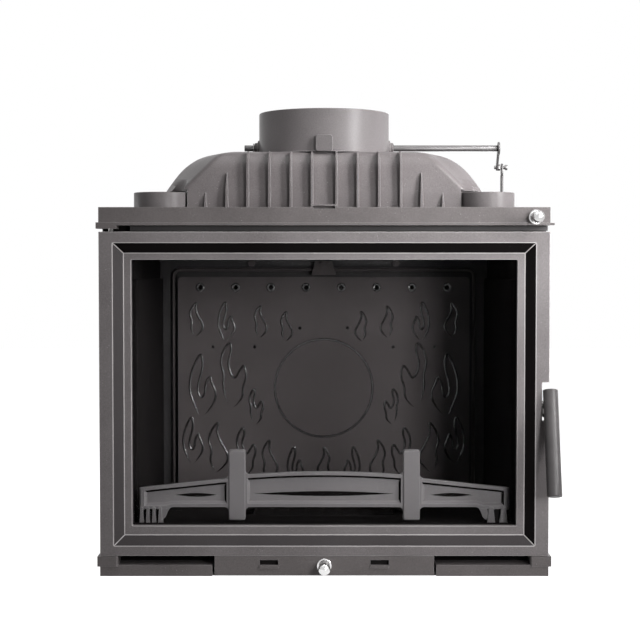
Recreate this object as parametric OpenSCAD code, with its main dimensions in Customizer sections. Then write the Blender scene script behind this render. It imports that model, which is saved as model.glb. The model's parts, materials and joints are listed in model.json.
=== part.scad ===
// Cast iron fireplace insert with a glass door, an ash drawer and a flue damper.
// X runs to the right, Y to the back and Z up. The origin is on the floor, in the
// middle of the width, and the front face of the door lies front_d ahead of it.

/* [Body] */
// Width of the front
body_w = 690; // [640:1:800]
// Front face of the door ahead of the origin
front_d = 215; // [205:1:240]
// Outer edge of the back fins behind the origin
back_d = 198; // [190:1:240]
// Height of the base
base_h = 31.4; // [31:0.1:36]
// Thickness of the cast walls
wall = 8; // [6:0.5:10]
// Inner face of a side wall at the front, in from the body's edge
fire_in = 41.5; // [39:0.5:43]
// How far each side wall comes in towards the back
side_taper = 12; // [0:1:20]
// Thickness of a cast fin
fin_t = 4; // [3:0.5:6]
// Distance between the side fins
side_fin_pitch = 40; // [30:1:60]
// How far the back fins stand out
back_fin_d = 25; // [15:1:30]
// Distance between the back fins
back_fin_pitch = 60; // [40:1:90]

/* [Front frame] */
// Thickness of the front frame
frame_t = 10; // [8:0.5:14]
// Space between the door's back and the front frame
seal_gap = 12; // [10:0.5:14]
// Edge of the front frame in from the body's edge
frame_in = 9; // [7:0.5:10]

/* [Top] */
// Dark gap over the door
top_gap = 9.9; // [8:0.1:14]
// Thickness of the top plate
top_t = 3.6; // [3:0.1:6]
// Height of the fascia on the top plate
fascia_h = 24; // [20:0.5:40]
// Thickness of the fascia
fascia_t = 8; // [6:0.5:12]

/* [Door] */
// Height of the door
door_h = 498; // [470:1:560]
// Thickness of the door's casting
door_t = 25; // [24:0.5:28]
// Width of the outer flat band
band_side_w = 21; // [18:0.5:24]
// Height of the outer flat band at the top
band_top_h = 16.6; // [14:0.5:20]
// Height of the outer flat band at the bottom
band_low_h = 15; // [12:0.5:20]
// Width of the sloping band
slope_w = 16; // [10:0.5:18]
// How deep the sloping band falls
slope_d = 9; // [5:0.5:10]
// Width of the inner flat band
lip_w = 11.6; // [10:0.1:14]
// Thickness of the inner flat band
lip_t = 11; // [8:0.5:12]
// How far the glass laps the inner band
glass_lap = 4.6; // [3:0.1:5]
// Thickness of the glass
glass_t = 4; // [4:0.5:5]
// Height of the notch for the handle
notch_h = 59.2; // [56:0.2:70]
// Middle of the notch above the floor
notch_z = 269.2; // [240:1:290]
// Depth of the notch
notch_d = 11; // [10:0.5:14]

/* [Hinge] */
// Hinge axis in from the door's edge
hinge_in = 17.5; // [16:0.5:20]
// Hinge axis behind the door's face
hinge_back = 15; // [13:0.5:16]
// Radius of a hinge pin
hinge_pin_r = 4; // [3:0.25:5]
// How deep a pin goes into the door
hinge_pin_reach = 20; // [12:1:30]

/* [Latch] */
// Pivot above the floor
latch_z = 255; // [250:1:257]
// Radius of the latch pivot
latch_pin_r = 4; // [3:0.25:5]
// Radius of the handle grip
grip_r = 11.5; // [10:0.25:12]
// Length of the handle grip
grip_len = 165; // [120:1:190]
// How far the grip leans out at the bottom, in degrees
grip_lean = 17.2; // [15:0.2:20]
// Radius of the keeper pin
keeper_r = 3.5; // [3:0.25:4]

/* [Ash drawer] */
// Half width of the drawer's front
drawer_half_w = 168.8; // [150:0.1:190]
// Thickness of the drawer's front
drawer_t = 5; // [4:0.5:8]
// Length of the ash pan
pan_len = 275; // [200:1:285]
// Thickness of the sheet of the pan
sheet_t = 1.5; // [1:0.1:2.5]
// Radius of a ball knob
knob_r = 9.5; // [8:0.25:11]
// Radius of the ring behind a ball knob
ring_r = 11.5; // [10:0.25:13]
// Radius of the rods behind the knobs
rod_r = 3; // [2.5:0.1:4]

/* [Smoke dome] */
// Top of the dome above the floor
dome_top = 658.4; // [650:0.2:680]
// Widest part of the dome in from the side walls
dome_in = 41.5; // [34:0.5:54]
// Thickness of the dome's shell
dome_wall = 7; // [5:0.5:8]
// Thickness of a dome rib
rib_t = 3.2; // [2.5:0.1:5]

/* [Flue] */
// Inner radius of the socket for the flue pipe
flue_r = 101; // [95:0.5:102]
// Thickness of the collar's wall at the socket
collar_wall = 6; // [5:0.5:8]
// Height of the collar above the dome
collar_h = 68.6; // [60:0.2:90]
// Flue axis ahead of the origin
flue_front = 20; // [15:1:25]
// Radius of the damper shaft
shaft_r = 5; // [4:0.25:6]
// Throw of the damper crank
crank_len = 37.8; // [30:0.2:40]

/* [Air spigots] */
// Inner radius of an air spigot
spigot_bore_r = 40.25; // [37.5:0.25:42]
// Thickness of a spigot's wall
spigot_wall = 3; // [2:0.25:4]
// Height of a spigot above the top plate
spigot_h = 49.5; // [30:0.5:80]
// Spigot axis in from the body's edge
spigot_in = 87.5; // [83:0.5:95]
// Spigot axis behind the door's face
spigot_back = 85; // [82:1:90]

/* [Firebox] */
// Top of the hearth floor
hearth_z = 70; // [66:1:76]
// Thickness of the hearth floor, the grate and the side plates
plate_t = 8; // [6:0.5:10]
// Top of the fireback below the baffle
fireback_below = 42.6; // [30:0.2:80]
// Radius of the ring on the fireback
medal_r = 86.8; // [60:0.2:100]

/* [Log guard] */
// End of the log guard in from the side walls
guard_in = 12; // [10.5:0.5:33]
// Width of a post
post_w = 26.5; // [20:0.5:32]
// Middle of a post from the middle of the guard
post_x = 137; // [120:1:160]
// Thickness of a post
post_t = 16; // [12:0.5:17]

/* [Clearances] */
// Radial clearance of a shaft that turns
run_c = 0.06; // [0.02:0.01:0.08]
// Clearance of pieces that are fitted together
fit_c = 0.05; // [0.02:0.01:0.08]
// Clearance between pieces that move past each other
gap_c = 0.3; // [0.2:0.05:0.4]

/* [Hidden] */
$fn = 64;
iron = [0.34, 0.33, 0.34];
dark_iron = [0.17, 0.17, 0.18];
inner_iron = [0.12, 0.12, 0.13];
steel = [0.6, 0.6, 0.62];
chrome = [0.85, 0.85, 0.87];
// How far a cut runs past what it cuts
over = 1;

// Heights, widths and depths that several pieces share
side_fin_in = 8.5;
frame_head_in = 1;
half_w = body_w / 2;
fire_half_w = half_w - fire_in;
frame_half_w = half_w - frame_in;
dome_half_w = fire_half_w - dome_in;
spigot_x = half_w - spigot_in;
guard_half_w = fire_half_w - guard_in;
y_front = -front_d;
door_y = y_front + door_t;
frame_y = door_y + seal_gap;
frame_end = frame_y + frame_t;
wall_y = back_d - back_fin_d - wall;
wall_end = wall_y + wall;
door_z = base_h;
door_top = door_z + door_h;
plate_z = door_top + top_gap;
deck_z = plate_z + top_t;
fascia_top = deck_z + fascia_h;
baffle_drop = 39.3;
baffle_z = plate_z - baffle_drop;
fireback_top = baffle_z - fireback_below;
side_fin_d = frame_half_w - fire_half_w - wall - side_fin_in;
back_half_w = fire_half_w - side_taper;
fin_edge = fire_half_w + wall + side_fin_d;

// The glass opening in the door
win_side = band_side_w + slope_w + lip_w;
win_half_w = half_w - win_side;
lip_low_more = 2.4;
lip_top_less = 1.5;
win_low = door_z + band_low_h + slope_w + lip_w + lip_low_more;
win_top = door_top - band_top_h - slope_w - lip_w + lip_top_less;
lip_y = y_front + slope_d;
rebate_y = lip_y + lip_t;
rib_in = 9.6;
rib_w = 4;
rope_w = 11.2;
rib_out = rib_in + rib_w + rope_w + 2 * gap_c;
rib_h = 8;
clip_x = 180;
clip_up = 60;
clip_w = 24;
clip_t = 2;
clip_in = 3.6;
clip_gap = 1;
frame_lap = 1.5;
screw_in = 9.3;
clip_screw_r = 2;
clip_screw_len = 9;
clip_head_r = 3.4;
clip_head_h = 2.4;

// Hinge
hinge_x = -half_w + hinge_in;
hinge_y = y_front + hinge_back;
lug_half = 15.9;
lug_in = 10;
lug_out = 21.5;
lug_over = 0.6;
lug_proud = 2;
lug_sink = 2.2;
top_lug_h = 9.6;
top_lug_drop = 5.2;
top_lug_z = plate_z - top_lug_drop + top_lug_h;
ear_out = 6.5;
lug_trim = 4;
pin_head_r = 5.5;
pin_head_h = 3.3;
washer_r = 9;

// Latch: distances from the pivot unless named otherwise
notch_x = half_w - notch_d;
latch_back = 13;
lever_gap = 2.5;
grip_gap = 1;
keeper_back = 8;
keeper_up = 7;
keeper_more = 1.5;
pivot_in = 14;
latch_y = y_front + latch_back;
lever_x = notch_x + lever_gap;
lever_t = 6;
hub_r = 11;
grip_x = notch_x + grip_r + grip_gap;
grip_top = 32;
grip_face = 11;
hook_low = 7;
keeper_y = frame_y + keeper_back;
keeper_z = latch_z + keeper_up;
keeper_in = 12;
keeper_boss = 18;
beak_t = 7.6;
beak_up = 11;
grip_screw_r = 2.5;
grip_head_r = 4;
grip_screw_back = 4.4;
pivot_head_r = 7;
pivot_head_h = 3;
relief_y = 14;
relief_h = 15;

// Base and ash drawer
floor_t = 4;
lip_h = 17.3;
lug_h = base_h - lug_over - lip_h + lug_sink;
lip_front_t = 8;
drawer_gap = 2.6;
drawer_low = 1;
rail_in = drawer_half_w + drawer_gap + drawer_low;
rail_t = 4;
slot_x = 85.2;
slot_w = 28.4;
slot_z = 12.6;
slot_h = 12.4;
slot_lip = 4.7;
slot_lip_d = 3;
knob_z = 16.2;
knob_out = 25;
air_box = 22;
pan_in = 8.8;
pan_drop = 1.9;
pan_half_w = drawer_half_w - pan_in;
pan_top = base_h - pan_drop;
shutter_t = 2;
shutter_half_w = 120;
shutter_low = 7;
shutter_drop = 4.4;
shutter_h = base_h - shutter_low - shutter_drop;
bush_flange = 3;
bush_wall = 1.9;
bush_r = rod_r + bush_wall;

// Dome. Each row of dome_shares gives, for one layer of the shell, the share of the
// rise below the top, then the shares of the half width at the front and at the side
// and of the front and back depths.
dome_front = 150;
dome_back = 130;
dome_shares = [
    [1, 0.908, 1, 1, 1],
    [0.61, 0.885, 1, 1, 1],
    [0.384, 0.802, 0.916, 0.987, 0.985],
    [0.211, 0.733, 0.847, 0.967, 0.962],
    [0.09, 0.687, 0.779, 0.94, 0.931],
    [0.03, 0.641, 0.702, 0.913, 0.9],
    [0, 0.573, 0.63, 0.873, 0.854]];
dome_rise = dome_top - deck_z;
dome_shoulder = [-0.4 * dome_front, 0.31 * dome_back];
layer_t = 0.2;
spigot_room = 3.8;
spigot_over = 5;
rib_x_shares = [0.0737, 0.2, 0.328, 0.458, 0.582, 0.71];
rib_x = [for (share = rib_x_shares) share * dome_half_w];
rib_drop_shares = [0, 0, 0, 0, 0.298, 0.558];
rib_drop = [for (share = rib_drop_shares) share * dome_rise];
rib_d = 9;
dome_lip_up = 26;
dome_lip_t = 2.5;
flange_t = 6;
flange_w = 9;
dome_hole_more = 2.4;
dome_hole_r = flue_r + dome_hole_more;
dome_bolt_out = flange_w + flange_t / 2;
dome_bolt_x = dome_half_w + dome_bolt_out;
dome_bolt_xy = [[-dome_bolt_x, dome_shoulder[0] / 2], [-dome_bolt_x, dome_shoulder[1]],
    [dome_bolt_x, dome_shoulder[0] / 2], [dome_bolt_x, dome_shoulder[1]],
    [-dome_half_w / 2, dome_back + dome_bolt_out], [dome_half_w / 2, dome_back + dome_bolt_out]];

// Flue collar and damper
throat_in = 5;
blade_room = 2;
shaft_up = 13;
shoulder_up = 11;
collar_r = flue_r + collar_wall;
throat_r = flue_r - throat_in;
flue_y = -flue_front;
shaft_z = dome_top + shaft_up;
shoulder_z = shaft_z + shoulder_up;
collar_top = dome_top + collar_h;
nose_h = 8.4;
lug_w = 27;
collar_lug_h = 26;
collar_lug_d = 6;
lug_corner = 4;
boss_r = 9;
boss_len = 8;
ear_angles = [45, 135];
ear_r = 10;
ear_reach = 8;
ear_t = 7;
ear_bolt_r = 3;
shaft_left = -131.3;
crank_out = 25.5;
crank_x = dome_half_w + crank_out;
crank_t = 3;
crank_w = 10.6;
crank_swing = 37.5;
blade_r = throat_r - blade_room;
blade_t = 2;
flat_z = 3;
blade_screw_x = 45;
blade_screw_r = 2.5;
clip_r = 8;
crank_bolt_r = 3;
crank_head_r = 4.5;
crank_head_h = 4;
crank_bolt_end = 306.3;
crank_nut_t = 3.8;
crank_nut_r = 5.4;
pin_y = flue_y + crank_len * sin(crank_swing);
pin_z = shaft_z - crank_len * cos(crank_swing);
pin_low = shaft_z - crank_len;
eye_gap = 5.3;
eye_x = crank_x + crank_t + eye_gap;
eye_t = 3;
eye_slack = 0.9;
eye_band = 2.6;
pull_in = 22;
pull_x = half_w - pull_in;
pull_up = 8.6;
pull_z = deck_z + pull_up;
pull_rod_r = 2.5;
pull_travel = 46;

// Firebox
hearth_room = 2;
hearth_front = frame_end + hearth_room;
grate_half_w = 150;
grate_front = -82;
grate_back = 78;
grate_lap = 6;
grate_hole_r = 4;
grate_pitch = 28;
chute_t = 6;
side_plate_t = 6;
side_plate_less = 2;
side_plate_top = fireback_top - side_plate_less;
back_plate_gap = 7;
back_plate_in = 32.5;
back_plate_half_w = back_half_w - back_plate_in;
port_r = 3.5;
port_ring_r = 8;
port_ring_h = 1.5;
port_drop = 18.3;
port_x = [31.3, 93.9, 156.5, 219];
small_ports = [[42.4, 90.4], [122.9, 124.4], [197.2, 124.4]];
medal_z = 260;
medal_w = 3;
medal_h = 2;
rim_w = 6;
rim_gap = 6;
rim_over = 10.4;
rim_top = fireback_top + rim_over;
clamp_half_w = 22.3;
clamp_lap = 6.8;
clamp_low = rim_top - clamp_lap;
clamp_h = 25;
clamp_bolt_up = 19.4;
clamp_bolt_x = 128.6;
clamp_bolt_r = 4;
bolt_head_r = 7;
bolt_head_h = 5;
ledge_t = 8;
ledge_w = 14;
baffle_front = -30;
baffle_gap = 2;
deflector_up = 26;

// Log guard
guard_low = 28.7;
guard_post_low = 7.8;
guard_post_top = 118.5;
guard_mid = 84;
guard_bow = 1.2;
guard_knee = 79.4;
guard_wing = 73;
guard_end = 59;
guard_t = 8;
guard_bead = 3;
bead_w = 6;
guard_y = hearth_front + post_t / 2;
foot_w = 38.7;
foot_d = 26;
foot_taper = 6;
slit_h = 5;

module box(x, y, z) {
    translate([x[0], y[0], z[0]]) cube([x[1] - x[0], y[1] - y[0], z[1] - z[0]]);
}

// Cylinders along X, Y and Z between two places
module rod_x(r, from, to, y, z) {
    translate([from, y, z]) rotate([0, 90, 0]) cylinder(r = r, h = to - from);
}

module rod_y(r, from, to, x, z) {
    translate([x, from, z]) rotate([-90, 0, 0]) cylinder(r = r, h = to - from);
}

module rod_z(r, from, to, x, y) {
    translate([x, y, from]) cylinder(r = r, h = to - from);
}

// A YZ outline drawn out along X, and an XZ outline drawn out along Y
module slab_x(from, to) {
    translate([from, 0, 0]) rotate([90, 0, 90]) linear_extrude(to - from) children();
}

module slab_y(from, to) {
    translate([0, to, 0]) rotate([90, 0, 0]) linear_extrude(to - from) children();
}

module slab_z(from, to) {
    translate([0, 0, from]) linear_extrude(to - from) children();
}

// A flat ring round the glass opening, from one distance outside its edge to another
module window_ring(inner, outer) {
    difference() {
        translate([-win_half_w - outer, win_low - outer])
            square([2 * (win_half_w + outer), win_top - win_low + 2 * outer]);
        translate([-win_half_w - inner, win_low - inner])
            square([2 * (win_half_w + inner), win_top - win_low + 2 * inner]);
    }
}

module window(grow) {
    translate([-win_half_w - grow, win_low - grow])
        square([2 * (win_half_w + grow), win_top - win_low + 2 * grow]);
}

// Half width inside a side wall at a depth
function inner_at(y) = fire_half_w - side_taper * (y - frame_end) / (wall_y - frame_end);

// The plan of the body behind the front frame, set in from the walls' inner faces
module plan(inset, from, to) {
    polygon([[-inner_at(from) + inset, from], [inner_at(from) - inset, from],
        [inner_at(to) - inset, to], [-inner_at(to) + inset, to]]);
}

module base_plate() {
    color(iron) difference() {
        union() {
            slab_z(0, floor_t) plan(-wall, frame_y, wall_end);
            box([-half_w, half_w], [y_front, frame_end], [0, floor_t]);
            for (side = [-1, 1]) {
                scale([side, 1, 1]) {
                    box([rail_in, half_w], [y_front, y_front + lip_front_t], [0, lip_h]);
                    box([rail_in, half_w], [y_front, frame_end], [lip_h - floor_t, lip_h]);
                    box([rail_in, frame_half_w], [frame_y, frame_end], [0, base_h]);
                    box([rail_in, rail_in + rail_t], [y_front, wall_end], [0, lip_h]);
                    box([rail_in, rail_in + rail_t], [frame_y, wall_end], [0, base_h]);
                    slab_z(0, base_h) polygon([[inner_at(frame_end), frame_end],
                        [inner_at(frame_end) + wall, frame_end], [inner_at(wall_end) + wall, wall_end],
                        [inner_at(wall_end), wall_end]]);
                    base_lug();
                }
            }
            box([-back_half_w - wall, back_half_w + wall], [wall_y, wall_end], [0, base_h]);
        }
        rod_z(hinge_pin_r + fit_c, base_h - lug_over - lug_h - over, base_h + over, hinge_x, hinge_y);
        box([-rail_in, rail_in], [y_front - over, y_front + drawer_t + drawer_low],
            [-over, floor_t + over]);
    }
}

module base_lug() {
    low = base_h - lug_over - lug_h;
    centre = half_w - hinge_in;
    slab_z(low, base_h - lug_over) polygon([[centre - lug_in, y_front],
        [centre - lug_in + lug_proud, y_front - lug_proud], [centre + lug_out, y_front - lug_proud],
        [centre + lug_out, hinge_y + lug_half - lug_trim], [centre + lug_half, hinge_y + lug_half],
        [centre - lug_in, hinge_y + lug_half]]);
}

module front_frame() {
    color(iron) difference() {
        union() {
            slab_y(frame_y, frame_end) difference() {
                translate([-frame_half_w, base_h]) square([2 * frame_half_w, plate_z - base_h]);
                window(frame_lap);
            }
            box([frame_head_in - half_w, half_w - frame_head_in], [frame_y, frame_end],
                [door_top - frame_t, plate_z]);
            box([notch_x - keeper_boss, notch_x], [keeper_y - keeper_boss / 2, keeper_y + keeper_boss / 2],
                [keeper_z - keeper_boss / 2, keeper_z + keeper_boss / 2]);
        }
        box([notch_x, frame_half_w + over], [frame_y - over, frame_end + over],
            [notch_z - notch_h / 2, notch_z + notch_h / 2]);
        box([notch_x - keeper_boss - over, notch_x + over], [frame_y - keeper_boss, frame_y],
            [keeper_z - keeper_boss, keeper_z + keeper_boss]);
        rod_x(keeper_r + fit_c, notch_x - keeper_in, notch_x + over, keeper_y, keeper_z);
        for (at = deflector_screw_at())
            rod_y(clip_screw_r + fit_c, frame_end - plate_t, frame_end + over, at, deflector_screw_z());
    }
}

// A side wall with its fins, the ledge for the baffle and bosses for the top bolts
module side_wall() {
    difference() {
        union() {
            slab_z(base_h, plate_z) polygon([[inner_at(frame_end), frame_end],
                [inner_at(frame_end) + wall, frame_end], [inner_at(wall_y) + wall, wall_y],
                [inner_at(wall_y), wall_y]]);
            for (y = [frame_end + side_fin_pitch / 2 : side_fin_pitch : wall_y - side_fin_pitch / 4])
                box([inner_at(y) + wall / 2, fin_edge], [y, y + fin_t],
                    [base_h + 2 * wall, plate_z - 2 * wall]);
            slab_z(baffle_z - ledge_t, baffle_z) polygon([
                [inner_at(baffle_front) - ledge_w, baffle_front],
                    [inner_at(baffle_front) + fin_t, baffle_front],
                [inner_at(wall_y) + fin_t, wall_y], [inner_at(wall_y) - ledge_w, wall_y]]);
            for (y = top_bolt_y())
                rod_z(top_boss_r(), plate_z - top_boss_len(), plate_z, inner_at(y) + wall / 2, y);
        }
        for (y = top_bolt_y())
            rod_z(clamp_bolt_r + fit_c, plate_z - top_boss_len() + over, plate_z + over,
                inner_at(y) + wall / 2, y);
        box([inner_at(wall_y) - ledge_w, fin_edge + over], [wall_y, wall_y + top_boss_len()],
            [0, plate_z + over]);
    }
}

function top_bolt_y() = [flue_y - side_fin_pitch, flue_y + side_fin_pitch, wall_y - side_fin_pitch];
function top_boss_r() = wall;
function top_boss_len() = 3 * wall;

module left_side_wall() {
    color(dark_iron) mirror([1, 0, 0]) side_wall();
}

module right_side_wall() {
    color(dark_iron) side_wall();
}

module back_wall() {
    color(dark_iron) difference() {
        union() {
            box([-back_half_w - wall, back_half_w + wall], [wall_y, wall_end], [base_h, plate_z]);
            for (n = [-4 : 4])
                box([n * back_fin_pitch - fin_t / 2, n * back_fin_pitch + fin_t / 2],
                    [wall_end - over, back_d], [base_h + 2 * wall, plate_z - 2 * wall]);
        }
        clamp_bolt_bores();
    }
}

module back_rim() {
    color(dark_iron) difference() {
        slab_y(wall_y - plate_t, wall_y) difference() {
            rim = back_plate_half_w + rim_gap;
            translate([-rim - rim_w, hearth_z + gap_c])
                square([2 * (rim + rim_w), rim_top - hearth_z - gap_c + rim_w]);
            translate([-rim, hearth_z]) square([2 * rim, rim_top - hearth_z]);
        }
        clamp_bolt_bores();
    }
}

module clamp_bolt_bores() {
    for (x = [-clamp_bolt_x, 0, clamp_bolt_x])
        rod_y(clamp_bolt_r + fit_c, wall_y - plate_t - over, wall_y + wall / 2, x, clamp_bolt_z(x));
}

function clamp_bolt_z(x) = x == 0 ? clamp_low + clamp_bolt_up : rim_top + rim_w + bolt_head_r + over;

module top_plate() {
    color(iron) difference() {
        union() {
            box([-half_w, half_w], [y_front - over, frame_end], [plate_z, deck_z]);
            slab_z(plate_z, deck_z) polygon([[-fin_edge, frame_y], [fin_edge, frame_y],
                [fin_edge, wall_end], [-fin_edge, wall_end]]);
            box([-half_w, half_w], [y_front, y_front + fascia_t], [plate_z, fascia_top]);
            for (x = [-2 : 2])
                box([x * post_x - fin_t / 2, x * post_x + fin_t / 2],
                    [y_front + fascia_t - over, y_front + 3 * fascia_t],
                        [deck_z - over, deck_z + fascia_h / 2]);
            box([half_w - over, half_w + ear_out], [y_front - over, y_front + fascia_t], [plate_z, deck_z]);
            slab_z(plate_z - top_lug_drop, top_lug_z) hinge_lug_plan();
        }
        slab_z(plate_z - over, deck_z + over) difference() {
            dome_plan(0, dome_wall + over);
            for (side = [-1, 1])
                translate([side * spigot_x, spigot_y()])
                    circle(spigot_bore_r + spigot_wall + spigot_room + dome_wall + over);
        }
        for (side = [-1, 1])
            rod_z(spigot_bore_r + spigot_wall + fit_c, plate_z - over, deck_z + over, side * spigot_x,
                spigot_y());
        rod_z(hinge_pin_r + fit_c, plate_z - top_lug_h, deck_z + over, hinge_x, hinge_y);
        rod_y(bush_r + fit_c, y_front - over, y_front + fascia_t + over, pull_x, pull_z);
        rod_y(ring_r + gap_c, y_front - 2 * over, y_front, pull_x, pull_z);
        for (y = top_bolt_y(), side = [-1, 1])
            rod_z(clamp_bolt_r + fit_c, plate_z - over, deck_z + over, side * (inner_at(y) + wall / 2), y);
        for (at = dome_bolt_xy)
            rod_z(ear_bolt_r + fit_c, plate_z - over, deck_z + over, at[0], at[1]);
    }
}

function spigot_y() = y_front + spigot_back;

module hinge_lug_plan() {
    out = hinge_x - lug_out;
    in = hinge_x + lug_in;
    polygon([[out, y_front - over], [in, y_front - over], [in, hinge_y + lug_half],
        [hinge_x - lug_half, hinge_y + lug_half], [out, hinge_y + lug_half / 2]]);
}

// A hexagon head with its shank below it
module hex_bolt(r, head_r, head_h, shank) {
    cylinder(r = head_r, h = head_h, $fn = 6);
    translate([0, 0, -shank]) cylinder(r = r, h = shank + head_h / 2);
}

module top_bolts() {
    color(steel) for (y = top_bolt_y(), side = [-1, 1])
        translate([side * (inner_at(y) + wall / 2), y, deck_z])
            hex_bolt(clamp_bolt_r, bolt_head_r, bolt_head_h, 2 * wall);
}

// Plan of one layer of the dome, drawn in by a distance
module dome_plan(row, inset) {
    front = dome_shares[row][1] * dome_half_w - inset;
    side = dome_shares[row][2] * dome_half_w - inset;
    near = inset - dome_shares[row][3] * dome_front;
    far = dome_shares[row][4] * dome_back - inset;
    polygon([[-front, near], [front, near], [side, dome_shoulder[0]], [side, dome_shoulder[1]],
        [front, far], [-front, far], [-side, dome_shoulder[1]], [-side, dome_shoulder[0]]]);
}

module dome_body(inset) {
    hull() for (row = [0 : len(dome_shares) - 1])
        translate([0, 0, dome_top - dome_shares[row][0] * dome_rise - (row == 0 ? inset : inset + layer_t)])
            linear_extrude(layer_t) dome_plan(row, inset);
}

module spigot_cut(grow) {
    for (side = [-1, 1]) {
        rod_z(spigot_bore_r + spigot_wall + spigot_room + grow, deck_z - 2 * dome_wall,
            deck_z + spigot_h + spigot_over + grow, side * spigot_x, spigot_y());
        rod_z(spigot_bore_r + gap_c + grow, deck_z, dome_top, side * spigot_x, spigot_y());
    }
}

// Ribs on the front and back of the dome, each a thin upright web
module dome_ribs() {
    low = deck_z + flange_t / 2;
    for (n = [0 : len(rib_x) - 1], side = [-1, 1], back = [0, 1]) {
        top = dome_top - rib_drop[n];
        face = back == 0 ? dome_front : dome_back;
        lean = rib_drop[n] > 0 ? 0 : rib_d / 2;
        outline = [[face + rib_d, low], [face + rib_d - lean / 2, top - 3 * rib_d],
            [face + rib_d / 3 - (rib_drop[n] > 0 ? rib_d : lean), top - rib_d * (rib_drop[n] > 0 ? 0 : 1)],
            [face - 2 * rib_d, top - (rib_drop[n] > 0 ? rib_d : 0) - layer_t], [face - 2 * rib_d, low]];
        translate([side * rib_x[n] - rib_t / 2, 0, 0]) rotate([90, 0, 90]) linear_extrude(rib_t)
            polygon([for (p = outline) [back == 0 ? -p[0] : p[0], p[1]]]);
    }
}

module smoke_dome() {
    color(iron) difference() {
        union() {
            difference() {
                union() {
                    dome_body(0);
                    dome_ribs();
                    slab_z(deck_z, deck_z + flange_t) dome_plan(0, -flange_w);
                    box([-rib_x[0], rib_x[0]], [-dome_front - rib_d, -dome_front + over],
                        [deck_z + dome_lip_up, deck_z + dome_lip_up + dome_lip_t]);
                }
                spigot_cut(0);
                box([-half_w, half_w], [-front_d, back_d], [0, deck_z]);
            }
            for (at = dome_bolt_xy)
                rod_z(ear_r, deck_z, deck_z + flange_t, at[0], at[1]);
        }
        difference() {
            dome_body(dome_wall);
            spigot_cut(dome_wall);
        }
        rod_z(dome_hole_r, dome_top - 3 * dome_wall, dome_top + over, 0, flue_y);
        for (at = dome_bolt_xy)
            rod_z(ear_bolt_r + fit_c, deck_z - over, deck_z + flange_t + over, at[0], at[1]);
    }
}

module dome_bolts() {
    color(steel) for (at = dome_bolt_xy)
        translate([at[0], at[1], deck_z + flange_t])
            hex_bolt(ear_bolt_r, ear_r / 2, ear_r / 3, flange_t + top_t / 2);
}

module flue_collar() {
    color(iron) difference() {
        union() {
            rod_z(collar_r, dome_top, collar_top, 0, flue_y);
            rod_z(dome_hole_r - gap_c, dome_top - nose_h, dome_top + over, 0, flue_y);
            for (side = [-1, 1])
                rod_x(boss_r, side < 0 ? -collar_r - boss_len : throat_r,
                    side < 0 ? -throat_r : collar_r + boss_len, flue_y, shaft_z);
            slab_y(flue_y - collar_r - collar_lug_d, flue_y - throat_r) collar_lug();
            for (a = ear_angles)
                rod_z(ear_r, dome_top, dome_top + ear_t, (collar_r + ear_reach) * cos(a),
                    flue_y + (collar_r + ear_reach) * sin(a));
        }
        rod_z(throat_r, dome_top - nose_h - over, collar_top, 0, flue_y);
        rod_z(flue_r, shoulder_z, collar_top + over, 0, flue_y);
        rod_x(shaft_r + run_c, -collar_r - 2 * boss_len, collar_r + 2 * boss_len, flue_y, shaft_z);
        for (a = ear_angles)
            rod_z(ear_bolt_r + fit_c, dome_top - over, dome_top + ear_t + over,
                (collar_r + ear_reach) * cos(a),
                flue_y + (collar_r + ear_reach) * sin(a));
        box([-collar_r, collar_r], [flue_y - 2 * collar_r, flue_y + 2 * collar_r],
            [dome_top - 2 * boss_r, dome_top - nose_h]);
    }
}

module collar_lug() {
    translate([-lug_w / 2, dome_top]) square([lug_w, collar_lug_h - lug_corner]);
    translate([-lug_w / 2 + lug_corner, dome_top]) square([lug_w - 2 * lug_corner, collar_lug_h]);
    for (side = [-1, 1])
        translate([side * (lug_w / 2 - lug_corner), dome_top + collar_lug_h - lug_corner])
            circle(lug_corner);
}

module collar_bolts() {
    color(steel) for (a = ear_angles)
        translate([(collar_r + ear_reach) * cos(a), flue_y + (collar_r + ear_reach) * sin(a),
            dome_top + ear_t])
            hex_bolt(ear_bolt_r, ear_r / 2, ear_r / 3, ear_t - over);
}

module air_spigot(side) {
    difference() {
        union() {
            rod_z(spigot_bore_r + spigot_wall, plate_z, deck_z + spigot_h, side * spigot_x, spigot_y());
            rod_z(spigot_bore_r + spigot_wall + spigot_room / 2, deck_z, deck_z + spigot_wall,
                side * spigot_x, spigot_y());
        }
        rod_z(spigot_bore_r, plate_z - over, deck_z + spigot_h + over, side * spigot_x, spigot_y());
    }
}

module left_air_spigot() {
    color(iron) air_spigot(-1);
}

module right_air_spigot() {
    color(iron) air_spigot(1);
}

module hearth_plate() {
    color(inner_iron) difference() {
        union() {
            slab_z(hearth_z - plate_t, hearth_z) plan(gap_c, hearth_front, wall_y - plate_t - gap_c);
            for (side = [-1, 1])
                scale([side, 1, 1]) box([rail_in, rail_in + chute_t], [hearth_front, wall_y - 2 * plate_t],
                    [base_h, hearth_z - plate_t + over]);
            for (y = [grate_front - grate_lap - chute_t, grate_back + grate_lap])
                box([-rail_in - over, rail_in + over], [y, y + chute_t],
                    [base_h + gap_c, hearth_z - plate_t + over]);
        }
        box([-grate_half_w + grate_lap, grate_half_w - grate_lap],
            [grate_front + grate_lap, grate_back - grate_lap], [base_h, hearth_z + over]);
        box([-grate_half_w, grate_half_w], [grate_front, grate_back],
            [hearth_z - plate_t / 2, hearth_z + over]);
    }
}

module grate() {
    color(inner_iron) difference() {
        box([-grate_half_w + gap_c, grate_half_w - gap_c], [grate_front + gap_c, grate_back - gap_c],
            [hearth_z - plate_t / 2, hearth_z]);
        for (i = [-4 : 4], j = [-2 : 2])
            rod_z(grate_hole_r, hearth_z - plate_t, hearth_z + over, i * grate_pitch,
                (grate_front + grate_back) / 2 + j * grate_pitch);
    }
}

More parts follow.
